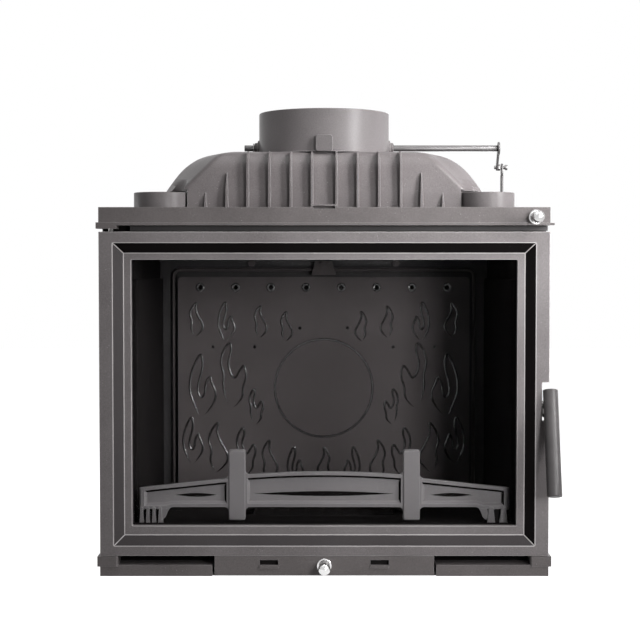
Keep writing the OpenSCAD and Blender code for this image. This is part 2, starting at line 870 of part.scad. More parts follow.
// Half of the log guard's rail, seen from the front, above the hearth floor
module rail_half(inset) {
    polygon([[-over * (inset > 0 ? 0 : 1), guard_low + inset], [post_x, guard_low + inset],
        [guard_half_w - inset, guard_low + inset], [guard_half_w - inset, guard_end - inset],
        [post_x + post_w / 2, guard_wing - inset], [post_x - post_w / 2, guard_knee - inset],
        [post_x / 2, guard_mid - guard_bow - inset], [-over * (inset > 0 ? 0 : 1), guard_mid - inset]]);
}

module rail_panel() {
    difference() {
        rail_half(bead_w);
        translate([post_x - post_w / 2 - bead_w, 0]) square([post_w + 2 * bead_w, guard_post_top]);
    }
}

// A slit with pointed ends between two places
module slit(from, to, z) {
    polygon([[from, z], [(2 * from + to) / 3, z + slit_h / 2], [(from + 2 * to) / 3, z + slit_h / 2],
        [to, z],
        [(from + 2 * to) / 3, z - slit_h / 2], [(2 * from + to) / 3, z - slit_h / 2]]);
}

module guard_foot() {
    low = guard_half_w - foot_w;
    slab_y(guard_y - post_t / 2, guard_y - post_t / 2 + foot_d)
        polygon([[low + foot_taper, guard_low + over],
        [low, 0], [guard_half_w - foot_w / 2 - fin_t / 2, 0], [guard_half_w - foot_w / 2, guard_low / 2],
        [guard_half_w - foot_w / 2 + fin_t / 2, 0], [guard_half_w, 0],
            [guard_half_w - foot_taper / 2, guard_low + over]]);
    slab_y(guard_y - guard_t / 2, guard_y + guard_t / 2) polygon([[low - foot_w / 2, guard_low + over],
        [low - foot_w / 4, guard_low * 3 / 4], [low - foot_w / 8, guard_low / 3],
            [low + over, guard_low / 4],
        [low + foot_taper, guard_low + over]]);
}

module log_guard() {
    color(iron) translate([0, 0, hearth_z]) difference() {
        union() {
            for (side = [-1, 1])
                scale([side, 1, 1]) {
                    difference() {
                        slab_y(guard_y - guard_t / 2 - guard_bead, guard_y + guard_t / 2) rail_half(0);
                        slab_y(guard_y - guard_t / 2 - guard_bead - over, guard_y - guard_t / 2)
                            rail_panel();
                    }
                    box([post_x - post_w / 2, post_x + post_w / 2],
                        [guard_y - post_t / 2, guard_y + post_t / 2],
                        [guard_post_low, guard_post_top]);
                    guard_foot();
                }
        }
        for (side = [-1, 1])
            scale([side, 1, 1]) slab_y(guard_y - post_t, guard_y + post_t)
                slit(post_x + post_w + bead_w, guard_half_w - foot_w, guard_low + guard_end / 3);
        slab_y(guard_y - post_t, guard_y + post_t)
            slit(-post_x + post_w + bead_w, post_x - post_w - bead_w, guard_low + guard_end / 3);
    }
}

module fireback() {
    y = wall_y - back_plate_gap - plate_t;
    color(inner_iron) difference() {
        union() {
            box([-back_plate_half_w, back_plate_half_w], [y, y + plate_t], [hearth_z, fireback_top]);
            for (x = port_x, side = [-1, 1])
                rod_y(port_ring_r, y - port_ring_h, y + over, side * x, fireback_top - port_drop);
            difference() {
                rod_y(medal_r, y - medal_h, y + over, 0, medal_z);
                rod_y(medal_r - medal_w, y - medal_h - over, y + 2 * over, 0, medal_z);
            }
            for (x = [-back_plate_half_w + 3 * plate_t, back_plate_half_w - 3 * plate_t],
                z = [hearth_z + 4 * plate_t, fireback_top - 6 * plate_t])
                rod_y(plate_t, y + plate_t - over, y + plate_t + back_plate_gap, x, z);
        }
        for (x = port_x, side = [-1, 1])
            rod_y(port_r, y - plate_t, y + plate_t + over, side * x, fireback_top - port_drop);
        for (at = small_ports, side = [-1, 1])
            rod_y(grate_hole_r * 3 / 4, y - plate_t, y + plate_t + over, side * at[0],
                fireback_top - at[1]);
    }
}

module fireback_clamp() {
    y = wall_y - 2 * plate_t;
    above = rim_top + rim_w + gap_c;
    top = clamp_low + clamp_h;
    color(iron) difference() {
        slab_x(-clamp_half_w, clamp_half_w) polygon([[wall_y, above], [wall_y, top], [y, top],
            [y, clamp_low], [wall_y - plate_t - gap_c, clamp_low], [wall_y - plate_t - gap_c, above]]);
        rod_y(clamp_bolt_r + fit_c, y - over, wall_y + over, 0, clamp_bolt_z(0));
        for (side = [-1, 1])
            scale([side, 1, 1]) slab_y(y - over, wall_y + over)
                polygon([[clamp_half_w + 2 * over, top + over],
                [clamp_half_w - plate_t, top + over], [clamp_half_w + over, clamp_low - over],
                [clamp_half_w + 2 * over, clamp_low - over]]);
    }
}

module fireback_bolts() {
    color(steel) for (x = [-clamp_bolt_x, 0, clamp_bolt_x]) {
        seat = x == 0 ? wall_y - 2 * plate_t : wall_y;
        translate([x, seat, clamp_bolt_z(x)]) rotate([90, 0, 0])
            hex_bolt(clamp_bolt_r, bolt_head_r, bolt_head_h, wall_y + wall / 2 - gap_c - seat);
    }
}

// A plate that lines a side wall
module side_plate() {
    from = hearth_front + post_t + foot_d / 2;
    to = wall_y - plate_t - gap_c;
    slab_z(hearth_z, side_plate_top) polygon([[inner_at(from) - gap_c - side_plate_t, from],
        [inner_at(from) - gap_c, from], [inner_at(to) - gap_c, to],
            [inner_at(to) - gap_c - side_plate_t, to]]);
}

module left_side_plate() {
    color(inner_iron) mirror([1, 0, 0]) side_plate();
}

module right_side_plate() {
    color(inner_iron) side_plate();
}

module baffle_plate() {
    color(inner_iron) slab_z(baffle_z, baffle_z + plate_t) plan(baffle_gap, baffle_front, wall_y - gap_c);
}

function deflector_screw_at() = [-post_x, post_x];
function deflector_screw_z() = win_top + deflector_up;

module air_deflector() {
    t = sheet_t * 2;
    low = deflector_screw_z() - deflector_up / 2;
    color(dark_iron) difference() {
        slab_x(-win_half_w + wall, win_half_w - wall)
            polygon([[frame_end, low], [frame_end + 6 * t, low - 4 * t],
            [frame_end + 6 * t, low - 3 * t], [frame_end + t, low + t], [frame_end + t, low + 8 * t],
            [frame_end, low + 8 * t]]);
        for (at = deflector_screw_at())
            rod_y(clip_screw_r + fit_c, frame_end - over, frame_end + t + over, at, deflector_screw_z());
    }
}

module deflector_screws() {
    color(steel) for (at = deflector_screw_at()) {
        rod_y(clip_screw_r, frame_end - plate_t + gap_c, frame_end + 2 * sheet_t, at, deflector_screw_z());
        rod_y(clip_head_r, frame_end + 2 * sheet_t, frame_end + 2 * sheet_t + clip_head_h, at,
            deflector_screw_z());
    }
}

module latch_keeper() {
    color(steel) rod_x(keeper_r, notch_x - keeper_in, lever_x + lever_t + keeper_more, keeper_y, keeper_z);
}

module upper_hinge_pin() {
    color(steel) {
        rod_z(hinge_pin_r, door_top - hinge_pin_reach, top_lug_z, hinge_x, hinge_y);
        rod_z(pin_head_r, top_lug_z, top_lug_z + pin_head_h / 2, hinge_x, hinge_y);
        rod_z(pin_head_r - pin_head_h / 2, top_lug_z, top_lug_z + pin_head_h, hinge_x, hinge_y);
    }
}

module lower_hinge_pin() {
    color(steel) rod_z(hinge_pin_r, base_h - lug_over - lug_h, door_z + hinge_pin_reach, hinge_x, hinge_y);
}

module hinge_washer() {
    color(steel) difference() {
        rod_z(washer_r, base_h - lug_over, base_h - lug_over / 6, hinge_x, hinge_y);
        rod_z(hinge_pin_r + fit_c, base_h - 2 * lug_over, base_h + over, hinge_x, hinge_y);
    }
}

// The ring and sleeve that a knob's rod slides in
module rod_bush(x, z, seat) {
    difference() {
        union() {
            rod_y(bush_r, y_front - over, y_front + seat, x, z);
            rod_y(ring_r, y_front - bush_flange, y_front, x, z);
        }
        rod_y(rod_r + run_c, y_front - 2 * bush_flange, y_front + 2 * seat, x, z);
    }
}

module pull_rod_bush() {
    color(chrome) rod_bush(pull_x, pull_z, fascia_t);
}

module air_rod_bush() {
    color(chrome) rod_bush(0, knob_z, drawer_t);
}

module knob(x, z) {
    difference() {
        translate([x, y_front - knob_out, z]) rotate([90, 0, 0]) sphere(knob_r);
        rod_y(rod_r + fit_c, y_front - knob_out - knob_r / 3, y_front, x, z);
    }
}

module door_slope() {
    hull() {
        slab_y(y_front - layer_t, y_front) window(lip_w + slope_w);
        slab_y(lip_y - layer_t, lip_y) window(lip_w);
    }
}

module door_frame() {
    color(iron) difference() {
        union() {
            slab_y(y_front, door_y) translate([-half_w, door_z]) square([body_w, door_h]);
            slab_y(door_y - over, door_y + rib_h) {
                window_ring(rib_in, rib_in + rib_w);
                window_ring(rib_out, rib_out + rib_w);
            }
        }
        slab_y(y_front - over, door_y + over) window(0);
        slab_y(rebate_y, door_y + over) window(glass_lap + gap_c);
        door_slope();
        for (at = clip_places()) clip_shape(at, clip_w + 2 * clip_gap, rib_in - over, rib_in + rib_w + over,
            door_y, door_y + rib_h + over);
        for (at = clip_places()) clip_hole(at, clip_screw_r + fit_c, door_y - clip_screw_len,
            door_y + over);
        rod_z(hinge_pin_r + run_c, door_z - over, door_z + hinge_pin_reach + over, hinge_x, hinge_y);
        rod_z(hinge_pin_r + run_c, door_top - hinge_pin_reach - over, door_top + over, hinge_x, hinge_y);
        box([notch_x, half_w + over], [y_front - over, door_y + over],
            [notch_z - notch_h / 2, notch_z + notch_h / 2]);
        box([notch_x, half_w + over], [y_front + relief_y, door_y + over],
            [notch_z - notch_h / 2 - relief_h, notch_z]);
        rod_x(latch_pin_r + run_c, notch_x - pivot_in, notch_x + over, latch_y, latch_z);
    }
}

// Places of the glass clips: side of the opening, and distance along it from its middle
function clip_places() = [[0, -clip_x], [0, clip_x], [1, -clip_x], [1, clip_x], [2, clip_up], [3, clip_up]];

// A plate beside the glass opening, between two distances from its edge
module clip_shape(at, w, inner, outer, from, to) {
    mid = (win_low + win_top) / 2;
    slab_y(from, to) {
        if (at[0] == 0) translate([at[1] - w / 2, win_top + inner]) square([w, outer - inner]);
        if (at[0] == 1) translate([at[1] - w / 2, win_low - outer]) square([w, outer - inner]);
        if (at[0] == 2) translate([win_half_w + inner, mid + at[1] - w / 2]) square([outer - inner, w]);
        if (at[0] == 3) translate([-win_half_w - outer, mid + at[1] - w / 2]) square([outer - inner, w]);
    }
}

module clip_hole(at, r, from, to) {
    mid = (win_low + win_top) / 2;
    x = at[0] < 2 ? at[1] : (win_half_w + screw_in) * (at[0] == 2 ? 1 : -1);
    z = at[0] == 0 ? win_top + screw_in : at[0] == 1 ? win_low - screw_in : mid + at[1];
    rod_y(r, from, to, x, z);
}

module door_glass() {
    color([0.1, 0.1, 0.11, 0.35]) slab_y(door_y - glass_t, door_y) window(glass_lap);
}

module glass_gasket() {
    color(dark_iron) slab_y(rebate_y, door_y - glass_t) window_ring(gap_c, glass_lap);
}

module glass_clips() {
    color(steel) difference() {
        for (at = clip_places())
            clip_shape(at, clip_w, clip_in - glass_lap / 2, rib_in + rib_w - gap_c, door_y,
                door_y + clip_t);
        for (at = clip_places()) clip_hole(at, clip_screw_r + fit_c, door_y - over, door_y + 2 * clip_t);
    }
}

module clip_screws() {
    color(steel) for (at = clip_places()) {
        clip_hole(at, clip_screw_r, door_y - clip_screw_len + gap_c, door_y + clip_t);
        clip_hole(at, clip_head_r, door_y + clip_t, door_y + clip_t + clip_head_h);
    }
}

module door_rope() {
    color([0.25, 0.24, 0.23]) slab_y(door_y, frame_y - gap_c)
        window_ring(rib_in + rib_w + gap_c, rib_out - gap_c);
}

// The lever's outline: hub, arm to the grip and hook under the keeper
module lever_outline() {
    hook_y = keeper_y - latch_y;
    hook_z = keeper_z - latch_z;
    under = hook_z - keeper_r - 2 * gap_c;
    behind = hook_y + keeper_r + 2 * gap_c;
    circle(hub_r);
    polygon([[0, -hook_low], [behind + beak_t, -hook_low], [behind + beak_t, beak_up], [behind, beak_up],
        [behind, under], [0, under]]);
    polygon([[0, -hub_r / 2], [0, hub_r / 2], [grip_reach(), hub_r / 2], [grip_reach(), -hub_r / 2]]);
}

function grip_line(z) = -grip_face - (grip_top - z) * tan(grip_lean);
function grip_reach() = grip_line(0);
function grip_screw_y() = latch_y + grip_reach() + grip_screw_back;

module latch_lever() {
    color(dark_iron) difference() {
        translate([0, latch_y, latch_z]) slab_x(lever_x, lever_x + lever_t) lever_outline();
        rod_x(latch_pin_r + fit_c, lever_x - over, lever_x + lever_t + over, latch_y, latch_z);
        rod_x(grip_screw_r + fit_c, lever_x - over, lever_x + lever_t + over,
            grip_screw_y(), latch_z);
    }
}

module latch_pivot() {
    color(steel) {
        rod_x(latch_pin_r, notch_x - pivot_in + over, lever_x + lever_t, latch_y, latch_z);
        rod_x(pivot_head_r, lever_x + lever_t, lever_x + lever_t + pivot_head_h, latch_y, latch_z);
    }
}

module latch_washer() {
    color(steel) difference() {
        rod_x(washer_r, notch_x + gap_c, lever_x, latch_y, latch_z);
        rod_x(latch_pin_r + fit_c, notch_x, lever_x + over, latch_y, latch_z);
    }
}

module handle_grip() {
    color([0.45, 0.45, 0.46]) difference() {
        translate([grip_x, latch_y - grip_face, latch_z + grip_top]) rotate([-grip_lean, 0, 0])
            translate([0, 0, -grip_len]) {
                translate([0, 0, over]) cylinder(r = grip_r, h = grip_len - 2 * over);
                cylinder(r = grip_r - over, h = grip_len);
            }
        translate([0, latch_y, latch_z]) slab_x(grip_x - 2 * grip_r, lever_x + lever_t + fit_c)
            polygon([[grip_reach() - gap_c, -hub_r / 2 - fit_c], [grip_reach() - gap_c, hub_r / 2 + fit_c],
                [grip_r, hub_r / 2 + fit_c], [grip_r, -hub_r / 2 - fit_c]]);
        rod_x(hub_r + gap_c, grip_x - 2 * grip_r, lever_x + lever_t + fit_c, latch_y, latch_z);
        rod_x(grip_screw_r + fit_c, lever_x, grip_x + grip_r / 2, grip_screw_y(),
            latch_z);
    }
}

module grip_screw() {
    color(steel) {
        rod_x(grip_screw_r, lever_x - fit_c, grip_x + grip_r / 2 - gap_c, grip_screw_y(), latch_z);
        rod_x(grip_head_r, lever_x - grip_head_r / 2, lever_x, grip_screw_y(), latch_z);
    }
}

module drawer_front() {
    color(iron) difference() {
        union() {
            box([-drawer_half_w, drawer_half_w], [y_front, y_front + drawer_t],
                [drawer_low, base_h - 2 * gap_c]);
            for (side = [-1, 1])
                box([side * slot_x - slot_w / 2, side * slot_x + slot_w / 2],
                    [y_front - slot_lip_d, y_front + over],
                    [slot_z, slot_z + slot_lip]);
        }
        for (side = [-1, 1])
            box([side * slot_x - slot_w / 2, side * slot_x + slot_w / 2],
                [y_front - over, y_front + drawer_t + over],
                [slot_z + slot_lip, slot_z + slot_h]);
        rod_y(bush_r + fit_c, y_front - over, y_front + drawer_t + over, 0, knob_z);
    }
}

// The pan's two side sheets run on to the drawer's front
module ash_pan() {
    low = floor_t + gap_c;
    y = y_front + drawer_t;
    color(steel) difference() {
        box([-pan_half_w, pan_half_w], [y, y + pan_len], [low, pan_top]);
        box([-pan_half_w + sheet_t, pan_half_w - sheet_t], [y + air_box, y + pan_len - sheet_t],
            [low + sheet_t, pan_top + over]);
        box([-pan_half_w + sheet_t, pan_half_w - sheet_t], [y - over, y + air_box - sheet_t],
            [low - over, pan_top + over]);
        for (side = [-1, 1])
            rod_x(clip_screw_r + fit_c, side < 0 ? -pan_half_w - over : pan_half_w - 2 * sheet_t,
                side < 0 ? -pan_half_w + 2 * sheet_t : pan_half_w + over, y + air_box / 3, knob_z);
    }
}

// Rivets that hold the pan's sides to two small angles behind the drawer's front
module pan_rivets() {
    y = y_front + drawer_t;
    color(steel) for (side = [-1, 1])
        scale([side, 1, 1]) {
            rod_x(clip_screw_r, pan_half_w - 3 * sheet_t, pan_half_w + fit_c, y + air_box / 3, knob_z);
            rod_x(clip_head_r, pan_half_w, pan_half_w + sheet_t, y + air_box / 3, knob_z);
            box([pan_half_w - 3 * sheet_t, pan_half_w - sheet_t], [y, y + air_box / 2],
                [knob_z - slot_h / 2, knob_z + slot_h / 2]);
        }
}

module air_shutter() {
    y = y_front + drawer_t + gap_c;
    color(steel) difference() {
        box([-shutter_half_w, shutter_half_w], [y, y + shutter_t], [shutter_low, shutter_low + shutter_h]);
        rod_y(rod_r + fit_c, y - over, y + shutter_t + over, 0, knob_z);
    }
}

module air_rod() {
    y = y_front + drawer_t + gap_c;
    color(steel) {
        rod_y(rod_r, y_front - knob_out - knob_r / 3 + fit_c, y + 2 * shutter_t, 0, knob_z);
        rod_y(bush_r, y + shutter_t, y + 2 * shutter_t, 0, knob_z);
    }
}

module air_knob() {
    color(chrome) knob(0, knob_z);
}

module damper_shaft() {
    color(steel) difference() {
        rod_x(shaft_r, shaft_left, crank_x + crank_t, flue_y, shaft_z);
        box([-throat_r + over, throat_r - over], [flue_y - shaft_r - over, flue_y + shaft_r + over],
            [shaft_z + flat_z, shaft_z + shaft_r + over]);
        for (side = [-1, 1])
            rod_z(blade_screw_r + fit_c, shaft_z - shaft_r - over, shaft_z + shaft_r,
                side * blade_screw_x, flue_y);
        rod_x(shaft_r + over, shaft_clip_x() - fit_c, shaft_clip_x() + sheet_t + fit_c, flue_y, shaft_z);
    }
    color(steel) rod_x(shaft_r - over, shaft_clip_x() - over, shaft_clip_x() + sheet_t + over, flue_y,
        shaft_z);
}

function shaft_clip_x() = -collar_r - boss_len - sheet_t - 2 * gap_c;

module damper_blade() {
    color(dark_iron) difference() {
        rod_z(blade_r, shaft_z + flat_z, shaft_z + flat_z + blade_t, 0, flue_y);
        for (side = [-1, 1])
            rod_z(blade_screw_r + fit_c, shaft_z, shaft_z + shaft_r + over, side * blade_screw_x, flue_y);
    }
}

module damper_screws() {
    color(steel) for (side = [-1, 1]) {
        rod_z(blade_screw_r, shaft_z - shaft_r, shaft_z + flat_z + blade_t, side * blade_screw_x, flue_y);
        rod_z(2 * blade_screw_r, shaft_z + flat_z + blade_t, shaft_z + flat_z + 2 * blade_t,
            side * blade_screw_x, flue_y);
    }
}

module shaft_clip() {
    color(steel) difference() {
        rod_x(clip_r, shaft_clip_x(), shaft_clip_x() + sheet_t, flue_y, shaft_z);
        rod_x(shaft_r - over + fit_c, shaft_clip_x() - over, shaft_clip_x() + 2 * sheet_t, flue_y, shaft_z);
        box([shaft_clip_x() - over, shaft_clip_x() + 2 * sheet_t],
            [flue_y - shaft_r + over, flue_y + shaft_r - over],
            [shaft_z - 2 * clip_r, shaft_z]);
    }
}

module crank_arm() {
    color(steel) difference() {
        slab_x(crank_x, crank_x + crank_t) {
            translate([flue_y, shaft_z]) circle(crank_w);
            translate([pin_y, pin_z]) circle(crank_w / 2);
            translate([flue_y, shaft_z]) rotate(crank_swing) translate([-crank_w / 2, -crank_len])
                square([crank_w, crank_len]);
        }
        rod_x(shaft_r + fit_c, crank_x - over, crank_x + crank_t + over, flue_y, shaft_z);
        rod_x(crank_bolt_r + fit_c, crank_x - over, crank_x + crank_t + over, pin_y, pin_z);
    }
}

module crank_bolt() {
    color(steel) {
        rod_x(crank_bolt_r, crank_x - crank_t, crank_bolt_end - crank_head_h, pin_y, pin_z);
        rod_x(crank_head_r, crank_bolt_end - crank_head_h, crank_bolt_end, pin_y, pin_z);
    }
}

module crank_nut() {
    from = crank_x + crank_t;
    color(steel) difference() {
        translate([from, pin_y, pin_z]) rotate([0, 90, 0])
            cylinder(r = crank_nut_r, h = crank_nut_t, $fn = 6);
        rod_x(crank_bolt_r + fit_c, from - over, from + crank_nut_t + over, pin_y, pin_z);
    }
}

// The pull rod runs back from the knob, in over the top plate and up to the eye
module pull_rod() {
    eye_mid_x = eye_x + eye_t / 2;
    slot_r = crank_bolt_r + eye_slack;
    eye_low = pin_low - slot_r - eye_band;
    eye_high = pin_z + slot_r + eye_band;
    color(steel) difference() {
        union() {
            rod_y(rod_r, y_front - knob_out - knob_r / 3 + fit_c, y_front + 3 * fascia_t + pull_travel,
                pull_x, pull_z);
            rod_y(pull_rod_r, y_front, pin_y, pull_x, pull_z);
            translate([pull_x, pin_y, pull_z]) sphere(pull_rod_r);
            rod_x(pull_rod_r, eye_mid_x, pull_x, pin_y, pull_z);
            translate([eye_mid_x, pin_y, pull_z]) sphere(pull_rod_r);
            rod_z(pull_rod_r, pull_z, eye_low + eye_band / 2, eye_mid_x, pin_y);
            slab_x(eye_x, eye_x + eye_t) {
                translate([pin_y - slot_r - eye_band, pin_low])
                    square([2 * (slot_r + eye_band), pin_z - pin_low]);
                translate([pin_y, pin_low]) circle(slot_r + eye_band);
                translate([pin_y, pin_z]) circle(slot_r + eye_band);
            }
        }
        slab_x(eye_x - over, eye_x + eye_t + over) {
            translate([pin_y - slot_r, pin_low]) square([2 * slot_r, pin_z - pin_low]);
            translate([pin_y, pin_low]) circle(slot_r);
            translate([pin_y, pin_z]) circle(slot_r);
        }
    }
}

module damper_knob() {
    color(chrome) knob(pull_x, pull_z);
}

base_plate();
front_frame();
left_side_wall();
right_side_wall();
back_wall();
back_rim();
top_plate();
top_bolts();
smoke_dome();
dome_bolts();
flue_collar();
collar_bolts();
left_air_spigot();
right_air_spigot();
hearth_plate();
grate();
log_guard();
fireback();
fireback_clamp();
fireback_bolts();
left_side_plate();
right_side_plate();
baffle_plate();
air_deflector();
deflector_screws();
latch_keeper();
upper_hinge_pin();
lower_hinge_pin();
hinge_washer();
pull_rod_bush();
door_frame();
door_glass();
glass_gasket();
glass_clips();
clip_screws();
door_rope();
latch_lever();
latch_pivot();
latch_washer();
handle_grip();
grip_screw();
drawer_front();
ash_pan();
pan_rivets();
air_rod_bush();
air_shutter();
air_rod();
air_knob();
damper_shaft();
damper_blade();
damper_screws();
shaft_clip();
crank_arm();
crank_bolt();
crank_nut();
pull_rod();
damper_knob();
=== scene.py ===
import json
import math

import bmesh
import bpy
from mathutils import Matrix, Vector

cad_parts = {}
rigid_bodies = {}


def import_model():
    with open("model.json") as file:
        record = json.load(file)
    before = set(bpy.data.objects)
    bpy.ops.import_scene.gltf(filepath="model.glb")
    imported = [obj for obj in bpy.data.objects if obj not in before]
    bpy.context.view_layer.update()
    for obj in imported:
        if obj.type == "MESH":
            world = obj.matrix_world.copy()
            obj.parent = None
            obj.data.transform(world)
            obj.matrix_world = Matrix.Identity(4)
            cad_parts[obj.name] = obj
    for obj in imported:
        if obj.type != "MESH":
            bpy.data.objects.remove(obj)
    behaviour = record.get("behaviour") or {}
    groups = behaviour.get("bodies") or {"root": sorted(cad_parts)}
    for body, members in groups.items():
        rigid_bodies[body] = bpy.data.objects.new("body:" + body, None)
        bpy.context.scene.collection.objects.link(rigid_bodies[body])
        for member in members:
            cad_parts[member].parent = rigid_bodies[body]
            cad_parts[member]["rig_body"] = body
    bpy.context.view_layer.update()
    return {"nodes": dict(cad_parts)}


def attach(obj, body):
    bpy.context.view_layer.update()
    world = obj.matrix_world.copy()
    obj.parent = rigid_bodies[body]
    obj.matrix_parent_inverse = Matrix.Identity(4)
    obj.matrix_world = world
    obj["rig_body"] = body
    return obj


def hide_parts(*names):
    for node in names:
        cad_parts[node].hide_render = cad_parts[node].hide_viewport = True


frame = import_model()
nodes = frame["nodes"]
mm = 0.001
weldGap = 1e-6
nodeGap = 1e-5
print("frame loaded:", len(nodes), "nodes")


# the mesh helpers take millimetres
def point(x, y, z):
    return Vector((x * mm, y * mm, z * mm))


def link(name, data):
    obj = bpy.data.objects.new(name, data)
    bpy.context.scene.collection.objects.link(obj)
    return obj


def shape(build, *args, **kwargs):
    bm = bmesh.new()
    build(bm, *args, **kwargs)
    return bm


def loaded(*meshes):
    bm = bmesh.new()
    for mesh in meshes:
        bm.from_mesh(mesh)
    return bm


def addLoop(bm, points, closed=True):
    verts = [bmesh.ops.create_vert(bm, co=point(*p))["vert"][0] for p in points]
    pairs = list(zip(verts, verts[1:])) + ([(verts[-1], verts[0])] if closed else [])
    return verts, [bm.edges.new(pair) for pair in pairs]


def loft(bm, loops, around=False):
    # skins a row of closed loops that have the same number of points
    made = [addLoop(bm, loop)[1] for loop in loops]
    for near, far in zip(made, made[1:] + ([made[0]] if around else [])):
        bmesh.ops.bridge_loops(bm, edges=near + far)
    if not around:
        for edges in (made[0], made[-1]):
            bmesh.ops.contextual_create(bm, geom=edges)


def upright(a, b, depth):
    return a, depth, b


def lying(a, b, height):
    return a, b, height


def plate(bm, outline, near, far, toPoint=upright):
    # an outline given a thickness; returns the face on the near side
    edges = addLoop(bm, [toPoint(a, b, near) for a, b in outline])[1]
    face = bmesh.ops.contextual_create(bm, geom=edges)["faces"][0]
    moved = bmesh.ops.extrude_face_region(bm, geom=[face], use_keep_orig=True)["geom"]
    shift = Vector(toPoint(0, 0, far)) - Vector(toPoint(0, 0, near))
    bmesh.ops.translate(bm, verts=[v for v in moved if isinstance(v, bmesh.types.BMVert)], vec=shift * mm)
    return face


def box(bm, x, y, z):
    made = bmesh.ops.create_cube(bm, size=1)["verts"]
    bmesh.ops.scale(bm, verts=made, vec=Vector((x[1] - x[0], y[1] - y[0], z[1] - z[0])) * mm)
    bmesh.ops.translate(bm, verts=made, vec=point(sum(x) / 2, sum(y) / 2, sum(z) / 2))


def lathe(bm, profile, centre, axis="z", steps=96):
    # turns (radius, distance along the axis) points round an axis through centre
    turn = {"z": Matrix.Identity(3), "y": Matrix.Rotation(math.radians(-90), 3, "X"),
            "x": Matrix.Rotation(math.radians(90), 3, "Y")}[axis]
    closed = profile[0] == profile[-1]
    verts, edges = addLoop(bm, [(r, 0, h) for r, h in (profile[:-1] if closed else profile)], closed)
    bmesh.ops.rotate(bm, verts=verts, cent=(0, 0, 0), matrix=turn)
    bmesh.ops.translate(bm, verts=verts, vec=point(*centre))
    bmesh.ops.spin(bm, geom=verts + edges, cent=point(*centre), axis=turn @ Vector((0, 0, 1)),
                   angle=2 * math.pi, steps=steps, use_merge=True)
    bmesh.ops.remove_doubles(bm, verts=bm.verts, dist=weldGap)


def disc(bm, radius, span, centre, axis="z", steps=96):
    lathe(bm, [(0, span[0]), (radius, span[0]), (radius, span[1]), (0, span[1])], centre, axis, steps)


def between(a, b, t):
    return a + (b - a) * t


def arc(centre, radius, start, end, steps):
    # points on a part of a circle, from one angle in degrees to another
    angles = [math.radians(between(start, end, n / steps)) for n in range(steps + 1)]
    return [(centre[0] + radius * math.cos(a), centre[1] + radius * math.sin(a)) for a in angles]


def wallRims(outer, inner, top, size):
    # the rounded top of a round wall, from its outer face over to its bore
    return arc((outer - size, top - size), size, 0, 90, 4) + arc((inner + size, top - size), size, 90, 180, 4)


def rectangle(x, z):
    return [(x[0], z[0]), (x[1], z[0]), (x[1], z[1]), (x[0], z[1])]


def roundedCorner(points, radius, steps=5):
    # a closed outline with each corner rounded
    out = []
    longest = 0.45  # share of a side that a rounding may take
    for i, here in enumerate(points):
        here, before, after = Vector(here), Vector(points[i - 1]), Vector(points[(i + 1) % len(points)])
        a, b = (before - here).normalized(), (after - here).normalized()
        reach = min(radius / math.tan(a.angle(b) / 2), (before - here).length * longest,
                    (after - here).length * longest)
        start, end = here + a * reach, here + b * reach
        for n in range(steps + 1):
            t = n / steps
            out.append(tuple(start * (1 - t) ** 2 + here * 2 * t * (1 - t) + end * t ** 2))
    return out


def bothSides(places):
    return [(side * x, other) for x, other in places for side in (-1, 1)]


def meshFrom(bm, name):
    bmesh.ops.remove_doubles(bm, verts=bm.verts, dist=weldGap)
    bmesh.ops.dissolve_degenerate(bm, edges=bm.edges, dist=weldGap)
    bmesh.ops.recalc_face_normals(bm, faces=bm.faces)
    mesh = bpy.data.meshes.new(name)
    bm.to_mesh(mesh)
    bm.free()
    return mesh


def cut(bm, cutters, name):
    # takes closed shapes out of another one and gives the result as a mesh
    base = link(name, meshFrom(bm, name))
    tools = [link(name + "Tool", meshFrom(tool, name + "Tool")) for tool in cutters]
    for tool in tools:
        mod = base.modifiers.new("cut", "BOOLEAN")
        mod.operation = "DIFFERENCE"
        mod.solver = "EXACT"
        mod.object = tool
    return evaluated(base, tools)


def evaluated(obj, helpers=()):
    # the finished mesh of an object, which is then removed with its helpers
    bpy.context.view_layer.update()
    mesh = bpy.data.meshes.new_from_object(obj.evaluated_get(bpy.context.evaluated_depsgraph_get()))
    mesh.name = obj.name
    for used in [*helpers, obj]:
        bpy.data.objects.remove(used)
    return mesh


def finishEdges(obj, bevel, crease=35):
    for face in obj.data.polygons:
        face.use_smooth = True
    if bevel:
        width, segments, angle = bevel
        mod = obj.modifiers.new("edges", "BEVEL")
        mod.width = width * mm
        mod.segments = segments
        mod.limit_method = "ANGLE"
        mod.angle_limit = math.radians(angle)
        mod.harden_normals = True
        mod.miter_outer = "MITER_ARC"
    else:
        obj.data.set_sharp_from_angle(angle=math.radians(crease))


def piece(name, form, material, body="stove_body", stands=(), bevel=None, smooth=True, crease=35):
    obj = link(name, form if isinstance(form, bpy.types.Mesh) else meshFrom(form, name))
    obj.data.materials.clear()
    obj.data.materials.append(material)
    if smooth:
        finishEdges(obj, bevel, crease)
    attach(obj, body)
    if stands:
        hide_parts(*stands)
    return obj


def paintFaces(obj, material, chosen):
    # another material for the faces that are chosen by their corners and normal
    obj.data.materials.append(material)
    for face in obj.data.polygons:
        if chosen([obj.data.vertices[v].co / mm for v in face.vertices], face.normal):
            face.material_index = len(obj.data.materials) - 1


def paintEdges(obj, material):
    # the rounded edge faces take a bright material, a painted highlight along the edges
    obj.data.materials.append(material)
    obj.modifiers["edges"].material = len(obj.data.materials) - 1


# shader groups that several materials share
def shaderGroup(name, inputs, outputs):
    tree = bpy.data.node_groups.new(name, "ShaderNodeTree")
    for label, kind, value in inputs:
        socket = tree.interface.new_socket(name=label, in_out="INPUT", socket_type="NodeSocket" + kind)
        if value is not None:
            socket.default_value = value
    for label in outputs:
        tree.interface.new_socket(name=label, in_out="OUTPUT", socket_type="NodeSocketFloat")
    return tree, tree.nodes.new("NodeGroupInput"), tree.nodes.new("NodeGroupOutput")


